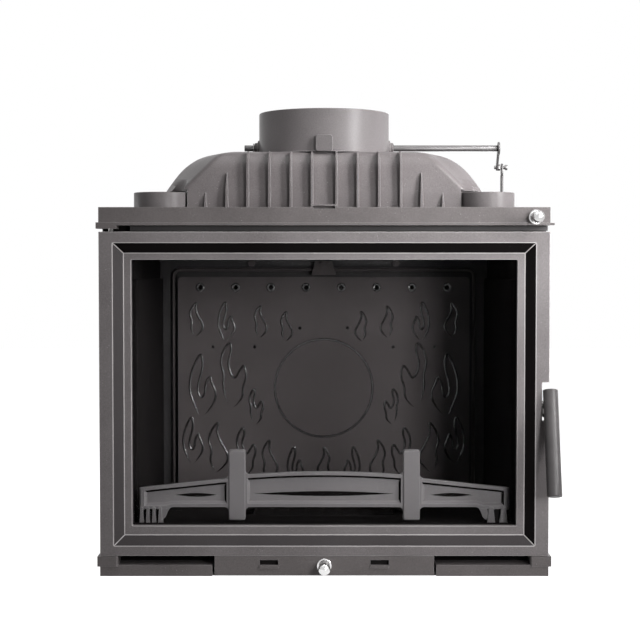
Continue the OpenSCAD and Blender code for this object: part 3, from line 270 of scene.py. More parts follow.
def feed(tree, socket, value):
    # a number or colour is set on the socket itself, and another node's output is linked to it
    if isinstance(value, (int, float)):
        socket.default_value = value
    elif isinstance(value, tuple):
        socket.default_value = (*value, 1.0)
    else:
        tree.links.new(value, socket)


def setInputs(node, values):
    for label, value in values.items():
        node.inputs[label].default_value = value


def calc(tree, operation, a, b):
    node = tree.nodes.new("ShaderNodeMath")
    node.operation = operation
    feed(tree, node.inputs[0], a)
    feed(tree, node.inputs[1], b)
    return node.outputs[0]


def ranged(tree, value, low, high, toLow=0.0, toHigh=1.0):
    node = tree.nodes.new("ShaderNodeMapRange")
    for label, number in (("Value", value), ("From Min", low), ("From Max", high), ("To Min", toLow),
                          ("To Max", toHigh)):
        feed(tree, node.inputs[label], number)
    return node.outputs["Result"]


def noise(tree, vector, scale, detail=3.0, roughness=0.55):
    node = tree.nodes.new("ShaderNodeTexNoise")
    for label, value in (("Vector", vector), ("Scale", scale), ("Detail", detail), ("Roughness", roughness)):
        feed(tree, node.inputs[label], value)
    return node.outputs["Fac"]


def mixColour(tree, factor, a, b):
    node = tree.nodes.new("ShaderNodeMix")
    node.data_type = "RGBA"
    for label, value in (("Factor", factor), ("A", a), ("B", b)):
        feed(tree, [s for s in node.inputs if s.name == label and s.enabled][0], value)
    return [s for s in node.outputs if s.enabled][0]


def blend(tree, a, b, shareOfA):
    return calc(tree, "ADD", calc(tree, "MULTIPLY", a, shareOfA), calc(tree, "MULTIPLY", b, 1 - shareOfA))


def buildCastGrain():
    # fine sand-cast grain, slow patches of tone and small bright specks
    tree, inside, out = shaderGroup("castGrain", [("Place", "Vector", None), ("Grain", "Float", 700.0),
                                                  ("Patch", "Float", 9.0)], ["Height", "Tone", "Speck"])
    place, size = inside.outputs["Place"], inside.outputs["Grain"]
    fine = noise(tree, place, size, 4.0, 0.6)
    coarse = noise(tree, place, calc(tree, "MULTIPLY", size, 0.28), 2.0)
    tree.links.new(blend(tree, fine, coarse, 0.65), out.inputs["Height"])
    patch = ranged(tree, noise(tree, place, inside.outputs["Patch"], 4.0, 0.6), 0.3, 0.7)
    tree.links.new(blend(tree, patch, ranged(tree, fine, 0.35, 0.65), 0.55), out.inputs["Tone"])
    cells = tree.nodes.new("ShaderNodeTexVoronoi")
    tree.links.new(place, cells.inputs["Vector"])
    tree.links.new(calc(tree, "MULTIPLY", size, 0.45), cells.inputs["Scale"])
    speck = ranged(tree, cells.outputs["Distance"], 0.16, 0.05)
    sparse = ranged(tree, noise(tree, place, calc(tree, "MULTIPLY", size, 0.1), 1.0), 0.58, 0.66)
    tree.links.new(calc(tree, "MULTIPLY", speck, sparse), out.inputs["Speck"])
    return tree


def buildEdgeWear():
    # a mask of the edges, brightened both as worn paint and as a painted highlight
    tree, inside, out = shaderGroup("edgeWearAndHighlight", [("Place", "Vector", None), ("Radius", "Float", 0.001),
                                                 ("Break", "Float", 60.0)], ["Mask"])
    rounded = tree.nodes.new("ShaderNodeBevel")
    rounded.samples = 4
    tree.links.new(inside.outputs["Radius"], rounded.inputs["Radius"])
    surface = tree.nodes.new("ShaderNodeNewGeometry")
    facing = tree.nodes.new("ShaderNodeVectorMath")
    facing.operation = "DOT_PRODUCT"
    tree.links.new(rounded.outputs["Normal"], facing.inputs[0])
    tree.links.new(surface.outputs["Normal"], facing.inputs[1])
    edge = ranged(tree, facing.outputs["Value"], 0.995, 0.86)
    broken = ranged(tree, noise(tree, inside.outputs["Place"], inside.outputs["Break"], 5.0), 0.25, 0.6, 0.45, 1.0)
    tree.links.new(calc(tree, "MULTIPLY", edge, broken), out.inputs["Mask"])
    return tree


def buildBrushing():
    # fine drawn lines along one axis, for plain steel
    tree, inside, out = shaderGroup("brushing", [("Place", "Vector", None),
                                                 ("Lines", "Vector", (40.0, 40.0, 900.0))], ["Line"])
    stretch = tree.nodes.new("ShaderNodeVectorMath")
    stretch.operation = "MULTIPLY"
    tree.links.new(inside.outputs["Place"], stretch.inputs[0])
    tree.links.new(inside.outputs["Lines"], stretch.inputs[1])
    tree.links.new(noise(tree, stretch.outputs["Vector"], 1.0), out.inputs["Line"])
    return tree


castGrain = buildCastGrain()
edgeWearAndHighlight = buildEdgeWear()
brushing = buildBrushing()


def useGroup(tree, group, place, **values):
    node = tree.nodes.new("ShaderNodeGroup")
    node.node_tree = group
    tree.links.new(place, node.inputs["Place"])
    setInputs(node, values)
    return node.outputs


def newMaterial(name):
    material = bpy.data.materials.new(name)
    material.use_nodes = True
    tree = material.node_tree
    place = tree.nodes.new("ShaderNodeTexCoord").outputs["Object"]
    return material, tree, tree.nodes["Principled BSDF"], place


def bump(tree, height, distance, shader):
    node = tree.nodes.new("ShaderNodeBump")
    setInputs(node, {"Distance": distance * mm, "Strength": 1.0})
    tree.links.new(height, node.inputs["Height"])
    tree.links.new(node.outputs["Normal"], shader.inputs["Normal"])


paint = {"dark": (0.104, 0.094, 0.095), "light": (0.183, 0.169, 0.171), "speckColour": (0.5, 0.49, 0.49),
         "edge": (0.46, 0.45, 0.45), "speck": 0.7, "wear": 0.45, "rough": (0.48, 0.4), "gloss": 0.12,
         "grain": 620.0, "patch": 7.0, "bump": 0.035, "edgeRadius": 0.9, "edgeBreak": 45.0}


def castIron(name, **changes):
    # the paint of the castings, with what is different on this one
    look = {**paint, **changes}
    material, tree, shader, place = newMaterial(name)
    grain = useGroup(tree, castGrain, place, Grain=look["grain"], Patch=look["patch"])
    wear = useGroup(tree, edgeWearAndHighlight, place, Radius=look["edgeRadius"] * mm, Break=look["edgeBreak"])
    colour = mixColour(tree, grain["Tone"], look["dark"], look["light"])
    colour = mixColour(tree, calc(tree, "MULTIPLY", grain["Speck"], look["speck"]), colour, look["speckColour"])
    # brighter edges: worn paint and a painted highlight in one
    colour = mixColour(tree, calc(tree, "MULTIPLY", wear["Mask"], look["wear"]), colour, look["edge"])
    tree.links.new(colour, shader.inputs["Base Color"])
    tree.links.new(ranged(tree, grain["Tone"], 0, 1, *look["rough"]), shader.inputs["Roughness"])
    shader.inputs["Specular IOR Level"].default_value = look["gloss"]
    bump(tree, grain["Height"], look["bump"], shader)
    return material


def steel(name, dark, light, metal, rough, height, lines, gloss=0.4):
    material, tree, shader, place = newMaterial(name)
    line = useGroup(tree, brushing, place, Lines=lines)["Line"]
    patch = ranged(tree, noise(tree, place, 30.0, 4.0), 0.3, 0.7)
    tree.links.new(mixColour(tree, patch, dark, light), shader.inputs["Base Color"])
    tree.links.new(ranged(tree, line, 0.3, 0.7, *rough), shader.inputs["Roughness"])
    setInputs(shader, {"Metallic": metal, "Specular IOR Level": gloss})
    bump(tree, line, height, shader)
    return material


paintedIron = castIron("paintedIron")
baseIron = castIron("baseIron", dark=(0.078, 0.07, 0.07), light=(0.135, 0.122, 0.122))
doorIron = castIron("doorIron", wear=0.75, edgeRadius=1.3)
# two darker copies of the paint as painted shade: the first for slopes turned up or to the right, the second, near
# black, for slopes and recesses turned away from the light
slopeShadeIron = castIron("slopeShadeIron", dark=(0.04, 0.036, 0.037), light=(0.056, 0.051, 0.052), speck=0.1,
                     edge=(0.4, 0.38, 0.38), wear=0.6, gloss=0.05)
shadeIron = castIron("shadeIron", dark=(0.006, 0.005, 0.005), light=(0.009, 0.008, 0.008), speck=0.05,
                     edge=(0.12, 0.11, 0.11), wear=0.5, gloss=0.0)
# a bright copy of the paint for the rounded edges, as a painted highlight
edgeHighlightIron = castIron("edgeHighlightIron", dark=(0.3, 0.28, 0.28), light=(0.42, 0.4, 0.4), wear=0.0, gloss=0.3)
domeIron = castIron("domeIron", dark=(0.076, 0.067, 0.068), light=(0.145, 0.132, 0.134), gloss=0.15,
                    rough=(0.4, 0.33), bump=0.015)
collarIron = castIron("collarIron", dark=(0.088, 0.08, 0.081), light=(0.13, 0.12, 0.122), gloss=0.12,
                      rough=(0.36, 0.3), bump=0.012, speck=0.1)
darkIron = castIron("darkIron", dark=(0.05, 0.047, 0.048), light=(0.08, 0.076, 0.077),
                    edge=(0.16, 0.155, 0.155), speck=0.2, wear=0.3)
# soot-black iron for the firebox inside, where it is also painted shade
sootAndShadeIron = castIron("sootAndShadeIron", dark=(0.011, 0.01, 0.01), light=(0.019, 0.017, 0.017),
                    speckColour=(0.04, 0.038, 0.038), edge=(0.05, 0.048, 0.048), speck=0.3, wear=0.25,
                    gloss=0.0, bump=0.01)
fireboxIron = castIron("fireboxIron", dark=(0.09, 0.079, 0.079), light=(0.14, 0.125, 0.125),
                       speckColour=(0.1, 0.1, 0.1), edge=(0.16, 0.152, 0.152), speck=0.15, wear=0.5,
                       rough=(0.42, 0.36), gloss=0.05, grain=480.0, patch=8.0, bump=0.006, edgeRadius=0.8,
                       edgeBreak=50.0)
# near black for the raised lines and rings on the fireback, as painted shade round them; their gloss is their own
reliefShadeIron = castIron("reliefShadeIron", dark=(0.016, 0.014, 0.014), light=(0.03, 0.027, 0.028), speck=0.1,
                      wear=0.0, gloss=0.8, rough=(0.26, 0.2), bump=0.004)
guardIron = castIron("guardIron", dark=(0.152, 0.143, 0.145), light=(0.21, 0.2, 0.202), speck=0.3,
                     wear=0.55, bump=0.02, edgeRadius=1.1)
# near black, as painted shade in the log guard's recesses and slits
guardShade = castIron("guardShade", dark=(0.006, 0.005, 0.005), light=(0.012, 0.011, 0.011), speck=0.05,
                      wear=0.0, gloss=0.0)
plainSteel = steel("plainSteel", (0.2, 0.195, 0.195), (0.3, 0.292, 0.29), 0.9, (0.34, 0.46), 0.02,
                   (40.0, 40.0, 700.0))
shaftSteel = steel("shaftSteel", (0.075, 0.072, 0.073), (0.11, 0.105, 0.106), 0.3, (0.3, 0.42), 0.02,
                   (700.0, 40.0, 40.0))
chromeMetal = steel("chromeMetal", (0.55, 0.545, 0.545), (0.68, 0.675, 0.675), 1.0, (0.2, 0.28), 0.002,
                    (300.0, 300.0, 300.0))
gripMetal = steel("gripMetal", (0.06, 0.056, 0.057), (0.08, 0.075, 0.076), 0.05, (0.34, 0.42), 0.02,
                  (260.0, 260.0, 500.0), gloss=0.2)


def buildGlass():
    material, tree, shader, place = newMaterial("clearGlass")
    haze = ranged(tree, noise(tree, place, 12.0, 4.0), 0.3, 0.8, 0.015, 0.05)
    tree.links.new(haze, shader.inputs["Roughness"])
    setInputs(shader, {"Base Color": (0.93, 0.93, 0.94, 1), "Transmission Weight": 1.0, "IOR": 1.05})
    clear = tree.nodes.new("ShaderNodeBsdfTransparent")
    clear.inputs["Color"].default_value = (0.9, 0.9, 0.9, 1)
    path = tree.nodes.new("ShaderNodeLightPath")
    mix = tree.nodes.new("ShaderNodeMixShader")
    dim = calc(tree, "MAXIMUM", path.outputs["Is Shadow Ray"], path.outputs["Is Diffuse Ray"])
    tree.links.new(dim, mix.inputs[0])
    tree.links.new(shader.outputs["BSDF"], mix.inputs[1])
    tree.links.new(clear.outputs["BSDF"], mix.inputs[2])
    tree.links.new(mix.outputs["Shader"], tree.nodes["Material Output"].inputs["Surface"])
    return material


def buildRope():
    material, tree, shader, place = newMaterial("glassFibreRope")
    wave = tree.nodes.new("ShaderNodeTexWave")
    wave.bands_direction = "DIAGONAL"
    setInputs(wave, {"Scale": 260.0, "Distortion": 1.5})
    tree.links.new(place, wave.inputs["Vector"])
    strands = wave.outputs["Fac"]
    colour = mixColour(tree, strands, (0.045, 0.043, 0.042), (0.12, 0.115, 0.11))
    tree.links.new(colour, shader.inputs["Base Color"])
    tree.links.new(ranged(tree, strands, 0, 1, 0.95, 0.8), shader.inputs["Roughness"])
    bump(tree, strands, 0.6, shader)
    return material


clearGlass = buildGlass()
rope = buildRope()
print("materials made")


# the CAD's nodes, dressed as they are or as merged copies with rounded edges
def dress(names, material, bevel=None):
    for name in names:
        obj = nodes[name]
        obj.data.materials.clear()
        obj.data.materials.append(material)
        obj.modifiers.new("weld", "WELD").merge_threshold = nodeGap
        if bevel:
            finishEdges(obj, bevel)


def recast(node, material, bevel, cutters=()):
    first, *rest = node.split("_")
    name = first + "".join(word.capitalize() for word in rest)
    bm = loaded(nodes[node].data)
    bmesh.ops.remove_doubles(bm, verts=bm.verts, dist=nodeGap)
    form = cut(bm, cutters, name) if cutters else bm
    return piece(name, form, material, nodes[node]["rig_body"], [node], bevel, smooth=bevel is not None)


nearly, turned = 0.1, 0.3  # for picking faces: how close in mm, and how far a normal leans
castEdge = (0.8, 2, 30)  # width, segments and least angle of a rounded edge
smallEdge = (0.25, 2, 35)
casing = {
    "notchHalf": 17, "notchY": (-230, -180), "notchZ": (564.4, 575.9), "recessFront": -206, "recessLow": 16.4,
    "headLow": 500, "headFill": ((-300, 345), (-189, -178), (531.5, 538.8)),
}

recast("top_plate", baseIron, None,
       [shape(box, (-casing["notchHalf"], casing["notchHalf"]), casing["notchY"], casing["notchZ"])])
recast("drawer_front", baseIron, None)
basePlate = recast("base_plate", baseIron, None)
paintFaces(basePlate, shadeIron, lambda corners, normal: (  # painted shade in the recess over each ledge
    min(c.y for c in corners) > casing["recessFront"] and min(c.z for c in corners) > casing["recessLow"]
    and abs(normal.z) < 0.5))
for node in ("back_wall", "air_deflector"):
    recast(node, darkIron, castEdge)
# the front frame is near black as painted shade in the gaps round the door, its head strip dark iron
frontFrame = recast("front_frame", sootAndShadeIron, castEdge)
paintFaces(frontFrame, darkIron, lambda corners, normal: min(c.z for c in corners) > casing["headLow"])
piece("headFill", shape(box, *casing["headFill"]), darkIron)
for node, side in (("left_side_wall", -1), ("right_side_wall", 1)):  # soot-black within, which also stands in for shade, and painted without
    sideWall = recast(node, sootAndShadeIron, castEdge)
    paintFaces(sideWall, darkIron, lambda corners, normal: side * normal.x > -0.5)
for node in ("hearth_plate", "grate", "left_side_plate", "right_side_plate", "baffle_plate"):
    recast(node, sootAndShadeIron, castEdge)
recast("latch_lever", darkIron, (0.4, 2, 35))
dress(["damper_blade"], darkIron)
dress(["air_shutter"], sootAndShadeIron)
dress(["fireback_bolts"], fireboxIron, smallEdge)
dress(["top_bolts", "dome_bolts", "collar_bolts", "deflector_screws", "latch_keeper", "upper_hinge_pin",
       "lower_hinge_pin", "hinge_washer", "glass_clips", "clip_screws", "latch_pivot", "latch_washer", "grip_screw",
       "ash_pan", "pan_rivets", "air_rod", "shaft_clip", "damper_screws", "crank_bolt", "crank_nut"],
      plainSteel, smallEdge)
dress(["damper_shaft", "crank_arm", "pull_rod"], shaftSteel, (0.3, 2, 35))
dress(["door_glass"], clearGlass)
print("body and small pieces dressed")


door = {
    "glassX": 296.4, "glassTop": 486.7, "glassLow": 76.4, "face": -215, "back": -190,
    "halfWidth": 345, "top": 529.4, "low": 31.4,
    # out from the glass opening at the sides, over it and under it
    "slopeStart": (27.6, 26.1, 30.0), "slopeEnd": (11.6, 10.1, 14.0), "lip": -206, "rebate": -195, "rebateOut": 4.9,
    "ribs": ((9.6, 13.6), (25.4, 29.4)), "ribBack": -182,
    "notchX": 334, "notch": (239.6, 298.8), "reliefLow": 224.6, "reliefY": -201, "past": 20,
}
doorCorners = ((-1, True), (1, True), (1, False), (-1, False))  # side, and whether it is an upper corner


def doorLoop(side, upper):
    # the section of the casting at one corner
    d = door
    outer = (d["halfWidth"] - d["glassX"], d["top"] - d["glassTop"], d["glassLow"] - d["low"])
    section = [(outer, d["face"]), (d["slopeStart"], d["face"]), (d["slopeEnd"], d["lip"])]
    section += [((out,) * 3, y) for out, y in ((0, d["lip"]), (0, d["rebate"]), (d["rebateOut"], d["rebate"]),
                                               (d["rebateOut"], d["back"]))]
    for low, high in d["ribs"]:
        section += [((low,) * 3, d["back"]), ((low,) * 3, d["ribBack"]), ((high,) * 3, d["ribBack"]),
                    ((high,) * 3, d["back"])]
    section.append((outer, d["back"]))
    return [(side * (d["glassX"] + atSide), y, d["glassTop"] + above if upper else d["glassLow"] - below)
            for (atSide, above, below), y in section]


def onDoorSlope(corners):
    ys = [c.y for c in corners]
    return min(ys) < door["face"] + nearly and abs(max(ys) - door["lip"]) < nearly


def buildDoor():
    d = door
    outside = (d["notchX"], d["halfWidth"] + d["past"])
    notch = shape(box, outside, (d["face"] - d["past"], d["back"] + d["past"]), d["notch"])
    relief = shape(box, outside, (d["reliefY"], d["back"] + d["past"]), (d["reliefLow"], d["notch"][0] + d["past"]))
    casting = shape(loft, [doorLoop(*corner) for corner in doorCorners], around=True)
    obj = piece("doorFrame", cut(casting, [notch, relief], "doorFrame"), doorIron, "door",
                ["door_frame"], (0.8, 2, 22))
    # painted shade on the slopes round the glass: those turned up or to the right get the darker copy, the others
    # the near-black one
    paintFaces(obj, slopeShadeIron, lambda corners, normal: onDoorSlope(corners) and max(normal.x, normal.z) > turned)
    paintFaces(obj, shadeIron, lambda corners, normal: onDoorSlope(corners) and max(normal.x, normal.z) <= turned)
    # painted highlight on the rounded edges
    paintEdges(obj, edgeHighlightIron)


buildDoor()
print("door made")


seals = {
    # node, from and to outside the glass opening, depth, steps in a corner, points in a section
    "doorRope": ("door_rope", (13.9, 25.1), (-190, -178.4), 9, 14),
    "glassTape": ("glass_gasket", (0.3, 4.6), (-195, -194), 5, 10),
}
squareness = 0.72  # 1 gives a round section, and less a squarer one


def swell(share):
    return math.copysign(abs(share) ** squareness, share)


def sealRing(out, depth, cornerSteps, sectionPoints):
    middle, half = sum(out) / 2, (out[1] - out[0]) / 2
    yMid, yHalf = sum(depth) / 2, (depth[1] - depth[0]) / 2
    loops = []
    for (side, upper), start in zip(doorCorners, (180, 90, 0, 270)):
        z = door["glassTop"] if upper else door["glassLow"]
        for n in range(cornerSteps):
            bend = math.radians(start - (n + 0.5) / cornerSteps * 90)
            loop = []
            for k in range(sectionPoints):
                a = 2 * math.pi * k / sectionPoints
                radius = middle + swell(math.cos(a)) * half
                loop.append((side * door["glassX"] + radius * math.cos(bend), yMid + swell(math.sin(a)) * yHalf,
                             z + radius * math.sin(bend)))
            loops.append(loop)
    return shape(loft, loops, around=True)


for name, (node, *ring) in seals.items():
    piece(name, sealRing(*ring), rope, "door", [node])


dome = {
    "base": 542.9, "top": 658.4, "halfWidth": 262, "front": 150, "back": 130, "shoulders": (-60, 40.3),
    # share of the rise below the top, half widths at front and side, front and back depths
    "rows": [(1, 0.9, 1, 1, 1), (0.8, 0.893, 1, 1, 1), (0.6, 0.874, 0.998, 1, 1),
             (0.384, 0.783, 0.938, 0.985, 0.985), (0.211, 0.705, 0.873, 0.955, 0.962),
             (0.09, 0.655, 0.8, 0.9, 0.931), (0.03, 0.62, 0.735, 0.85, 0.9), (0, 0.56, 0.672, 0.78, 0.854)],
    "layersPerRow": 5, "cornerRadius": 17, "cornerSteps": 6, "wall": 7, "openFoot": 20,
    "hole": 103.4, "holeZ": (640, 670), "flueY": -20,
    "spigotX": 257.5, "spigotY": -130, "scoop": 47.05, "scoopTop": 597.4, "pipe": 40.55, "pipeZ": (490, 720),
    "ribX": (19.3, 52.4, 85.9, 120.0, 152.5, 186.0), "ribTop": (0, 0, 0, 0, 34.4, 64.4), "ribT": 3.4, "ribD": 9,
    "ribFoot": 2, "ribRound": (0.6, 1.2, 0.36), "lipSunk": 2,
    # back from the rib's face and down from its top, then how its thickness tapers
    "fullRib": ((0.6, 48), (3, 26), (8, 12), (15, 4), (25, 0.6), (43, 0)), "fullTaper": (1, 0.25, 1),
    "shortRib": ((0.5, 30), (5, 10), (9.5, 1), (23, 0), (39, 4)), "shortTaper": (1.5, 0.85, 1.5),
    "lipUp": 28.3, "lipT": 2.6, "flange": 9, "flangeT": 6, "flangeCorner": 20, "flangeInside": (0.955, 0.92),
    "flangeCut": (5, 14), "bolts": ((274, -30), (274, 40.3), (131, 142)), "ear": 10,
}


def domeOutline(front, side, near, far, inset):
    d = dome
    fx, sx = front * d["halfWidth"] - inset, side * d["halfWidth"] - inset
    ny, fy = inset - near * d["front"], far * d["back"] - inset
    s0, s1 = d["shoulders"]
    return [(-fx, ny), (fx, ny), (sx, s0), (sx, s1), (fx, fy), (-fx, fy), (-sx, s1), (-sx, s0)]


def smoothRows(rows, perRow):
    # rows on a smooth line through the given ones
    out = []
    for i in range(len(rows) - 1):
        around = [rows[max(i - 1, 0)], rows[i], rows[i + 1], rows[min(i + 2, len(rows) - 1)]]
        for n in range(perRow):
            t = n / perRow
            out.append([min(0.5 * (2 * b + (c - a) * t + (2 * a - 5 * b + 4 * c - e) * t ** 2
                                   + (3 * b - a - 3 * c + e) * t ** 3), 1) for a, b, c, e in zip(*around)])
    return out + [list(rows[-1])]


def domeForm(inset, openFoot):
    d = dome
    loops = []
    for drop, *shares in smoothRows(d["rows"], d["layersPerRow"]):
        z = d["top"] - max(drop, 0) * (d["top"] - d["base"]) - inset
        outline = roundedCorner(domeOutline(*shares, inset), d["cornerRadius"], d["cornerSteps"])
        loops.append([(x, y, z - (0 if loops else openFoot)) for x, y in outline])
    return shape(loft, loops)


def addRib(bm, x, top, short, back):
    d = dome
    line = d["shortRib"] if short else d["fullRib"]
    widen, loss, power = d["shortTaper"] if short else d["fullTaper"]
    foot = d["base"] + d["ribFoot"]
    outline = [(d["ribD"] - line[-1][0], foot), (d["ribD"], foot)] + [(d["ribD"] - a, top - b) for a, b in line]
    half = d["ribT"] / 2
    spread, shrink, dip = d["ribRound"]
    loops = []
    for offset, less, down in ((-half - spread, shrink, dip), (-half, 0, 0), (half, 0, 0),
                               (half + spread, shrink, dip)):
        loop = []
        for out, z in outline:
            taper = widen * (1 - loss * ((z - d["base"]) / (top - d["base"])) ** power)
            y = d["back"] + out - less if back else less - d["front"] - out
            loop.append((x + offset * taper, y, z - down))
        loops.append(loop)
    loft(bm, loops)


def spigotScoops(grow=0):
    # room round the spigots, and a clear way up for their pipes
    d = dome
    r, top, pipe = d["scoop"] + grow, d["scoopTop"] + grow, d["pipe"] + grow
    low, high = d["pipeZ"]
    return [shape(lathe, [(0, low), (r, low), (r, top), (pipe, top), (pipe, high), (0, high)],
                  (side * d["spigotX"], d["spigotY"], 0), steps=72) for side in (-1, 1)]


def buildDome():
    d = dome
    outer = cut(domeForm(0, 0), spigotScoops(), "domeOuter")
    inner = cut(domeForm(d["wall"], d["openFoot"]), spigotScoops(d["wall"]), "domeInner")
    hole = shape(disc, d["hole"], d["holeZ"], (0, d["flueY"], 0))
    bm = loaded(cut(loaded(outer), [loaded(inner), hole], "smokeDome"))
    for x, drop in zip(d["ribX"], d["ribTop"]):
        for side in (-1, 1):
            for back in (False, True):
                addRib(bm, side * x, d["top"] - drop, drop > 0, back)
    lipLow = d["base"] + d["lipUp"]
    box(bm, (-d["ribX"][0], d["ribX"][0]), (-d["front"] - d["ribD"], d["lipSunk"] - d["front"]),
        (lipLow, lipLow + d["lipT"]))
    piece("smokeDome", bm, domeIron, stands=["smoke_dome"], crease=50)


def buildFlange():
    # round the dome's foot, with ears for the bolts
    d = dome
    outline = domeOutline(d["rows"][0][1], 1, 1, 1, -d["flange"])
    height = (d["base"], d["base"] + d["flangeT"])
    across, along = d["flangeInside"]
    under, over = d["flangeCut"]
    inside = shape(plate, [(x * across, y * along) for x, y in outline], height[0] - under, height[1] + over, lying)
    rim = shape(plate, roundedCorner(outline, d["flangeCorner"], 4), *height, lying)
    bm = loaded(cut(rim, [inside, *spigotScoops()], "domeFlange"))
    for x, y in bothSides(d["bolts"]):
        disc(bm, d["ear"], height, (x, y, 0), steps=32)
    piece("domeFlange", bm, paintedIron, bevel=(0.8, 2, 35))


buildDome()
buildFlange()
print("smoke dome made")


collar = {
    "radius": 107, "socket": 101, "throat": 96, "nose": 103.1, "foot": 658.4, "top": 727, "noseLow": 650,
    "shoulder": 682.4, "flueY": -20, "rim": 1.6, "fillet": 3, "filletEase": 0.3,
    "lugWidth": 27, "lugHeight": 26, "lugDepth": 6, "lugCorner": 5, "lugSunk": 2,
    "shaftZ": 671.4, "bosses": ((9, 8), (13, 2.5)), "bossSunk": 4.5, "bossEdge": 1.5,
    "ears": (45, 135), "earRadius": 10, "earReach": 8, "earT": 7,
}


def buildCollar():
    c = collar
    r, foot, fillet, y = c["radius"], c["foot"], c["fillet"], c["flueY"]
    ease = fillet * c["filletEase"]
    profile = [(c["nose"], c["noseLow"]), (c["nose"], foot), (r + fillet, foot), (r + ease, foot + ease),
               (r, foot + fillet), *wallRims(r, c["socket"], c["top"], c["rim"]), (c["socket"], c["shoulder"]),
               (c["throat"], c["shoulder"]), (c["throat"], c["noseLow"]), (c["nose"], c["noseLow"])]
    bm = shape(lathe, profile, (0, y, 0), steps=160)
    half = c["lugWidth"] / 2
    outline = roundedCorner(rectangle((-half, half), (foot, foot + c["lugHeight"])), c["lugCorner"])
    lug = shape(plate, outline, y - r - c["lugDepth"], y - c["socket"] - c["lugSunk"])
    bm.from_mesh(meshFrom(lug, "collarLug"))
    for side in (-1, 1):
        for radius, length in c["bosses"]:
            end, edge = length + c["bossSunk"], c["bossEdge"]
            boss = [(0, 0), (radius, 0), (radius, end - edge), (radius - edge, end), (0, end)]
            lathe(bm, [(a, side * b) for a, b in boss], (side * (r - c["bossSunk"]), y, c["shaftZ"]), "x", 40)
    for angle in c["ears"]:
        ear = arc((0, y), r + c["earReach"], angle, angle, 1)[0]
        disc(bm, c["earRadius"], (foot, foot + c["earT"]), (*ear, 0), steps=36)
    piece("flueCollar", bm, collarIron, stands=["flue_collar"], bevel=(0.8, 2, 40))


spigot = {"x": 257.5, "y": -130, "radius": 43.25, "bore": 40.25, "flange": 45.1, "flangeEdge": 1,
          "low": 539.4, "deck": 542.95, "deckTop": 545.9, "top": 592.4, "rim": 1.2}


def buildSpigot(name, node, side):
    s = spigot
    edge = s["flangeEdge"]
    profile = [(s["radius"], s["low"]), (s["radius"], s["deck"]), (s["flange"], s["deck"]),
               (s["flange"], s["deckTop"] - edge), (s["flange"] - edge, s["deckTop"]), (s["radius"], s["deckTop"]),
               *wallRims(s["radius"], s["bore"], s["top"], s["rim"]), (s["bore"], s["low"]),
               (s["radius"], s["low"])]
    piece(name, shape(lathe, profile, (side * s["x"], s["y"], 0), steps=112), collarIron,
          stands=[node])


buildCollar()
buildSpigot("leftAirSpigot", "left_air_spigot", -1)
buildSpigot("rightAirSpigot", "right_air_spigot", 1)
print("collar and spigots made")


knob = {
    "ball": 9.5, "centreOut": 25, "neck": 4.2, "neckEnds": (1.8, 2.4), "neckEdge": 0.6, "steps": 72,
    "ballArc": (-90, 85.5, 39), "bore": 3.1, "tube": 4.9, "seatGap": 0.02, "ringRadius": 11.5, "ringThick": 3,
    # out from the bore or in from the rim, and back from the ring's face
    "ringDish": ((0, 0.8), (2.6, 0.8), (3.4, 0.2)), "ringRound": ((1.4, 0), (0.5, 0.3), (0, 1)),
    "damper": (323, 551.5), "air": (0, 16.2),
}


def brightPiece(name, node, body, place, y, profile):
    form = shape(lathe, profile, (place[0], y, place[1]), "y", knob["steps"])
    piece(name, form, chromeMetal, body, [node])


def buildKnob(name, node, body, place):
    k = knob
    flat = math.sqrt(k["ball"] ** 2 - k["neck"] ** 2)
    ball = [p for p in arc((0, 0), k["ball"], *k["ballArc"]) if p[1] < flat]
    near, end = [flat + length for length in k["neckEnds"]]
    profile = ball + [(k["neck"], flat), (k["neck"], near), (k["neck"] - k["neckEdge"], end), (0, end)]
    brightPiece(name, node, body, place, door["face"] - k["centreOut"], profile)


def buildRing(name, node, body, place, seat):
    k = knob
    face = -k["ringThick"]
    profile = [(k["bore"] + out, face + down) for out, down in k["ringDish"]]
    profile += [(k["ringRadius"] - off, face + down) for off, down in k["ringRound"]]
    profile += [(k["ringRadius"], -k["seatGap"]), (k["tube"], -k["seatGap"]), (k["tube"], seat), (k["bore"], seat),
                profile[0]]
    brightPiece(name, node, body, place, door["face"], profile)


buildKnob("damperKnob", "damper_knob", "damper_pull", knob["damper"])
buildKnob("airKnob", "air_knob", "air_control", knob["air"])
buildRing("damperRing", "pull_rod_bush", "stove_body", knob["damper"], seat=8)
buildRing("airRing", "air_rod_bush", "ash_drawer", knob["air"], seat=5)

grip = {
    "place": (346.5, -213, 287), "lean": 17.2, "radius": 11.5, "length": 165, "crown": 1.2,
    "dimple": (2.8, 3.4, 0.5), "slotX": 342.55, "slotY": (-223.2, -190), "slotZ": (249.4, 260.6),
    "hub": 11.3, "hubSpan": (-15, 4.05), "hubPlace": (338.5, -202, 255),
}


def buildGrip():
    g = grip
    r, length, c = g["radius"], g["length"], g["crown"]
    start, end, deep = g["dimple"]
    profile = [(0, 0), (r - end, 0), (r - start, deep), *arc((r - c, deep + c), c, -90, 0, 3)]
    profile += [(r, length * n / 8) for n in range(1, 8)]
    profile += [*arc((r - c, length - c), c, 0, 90, 3), (0, length)]
    bm = shape(lathe, profile, (0, 0, 0), "z", 64)
    bmesh.ops.translate(bm, verts=bm.verts, vec=point(0, 0, -length))
    bmesh.ops.rotate(bm, verts=bm.verts, cent=(0, 0, 0), matrix=Matrix.Rotation(math.radians(-g["lean"]), 3, "X"))
    bmesh.ops.translate(bm, verts=bm.verts, vec=point(*g["place"]))
    leverSlot = shape(box, (g["place"][0] - 2 * r, g["slotX"]), g["slotY"], g["slotZ"])
    hub = shape(disc, g["hub"], g["hubSpan"], g["hubPlace"], "x", 48)
    piece("handleGrip", cut(bm, [leverSlot, hub], "handleGrip"), gripMetal, "latch", ["handle_grip"])


buildGrip()
print("knobs and grip made")


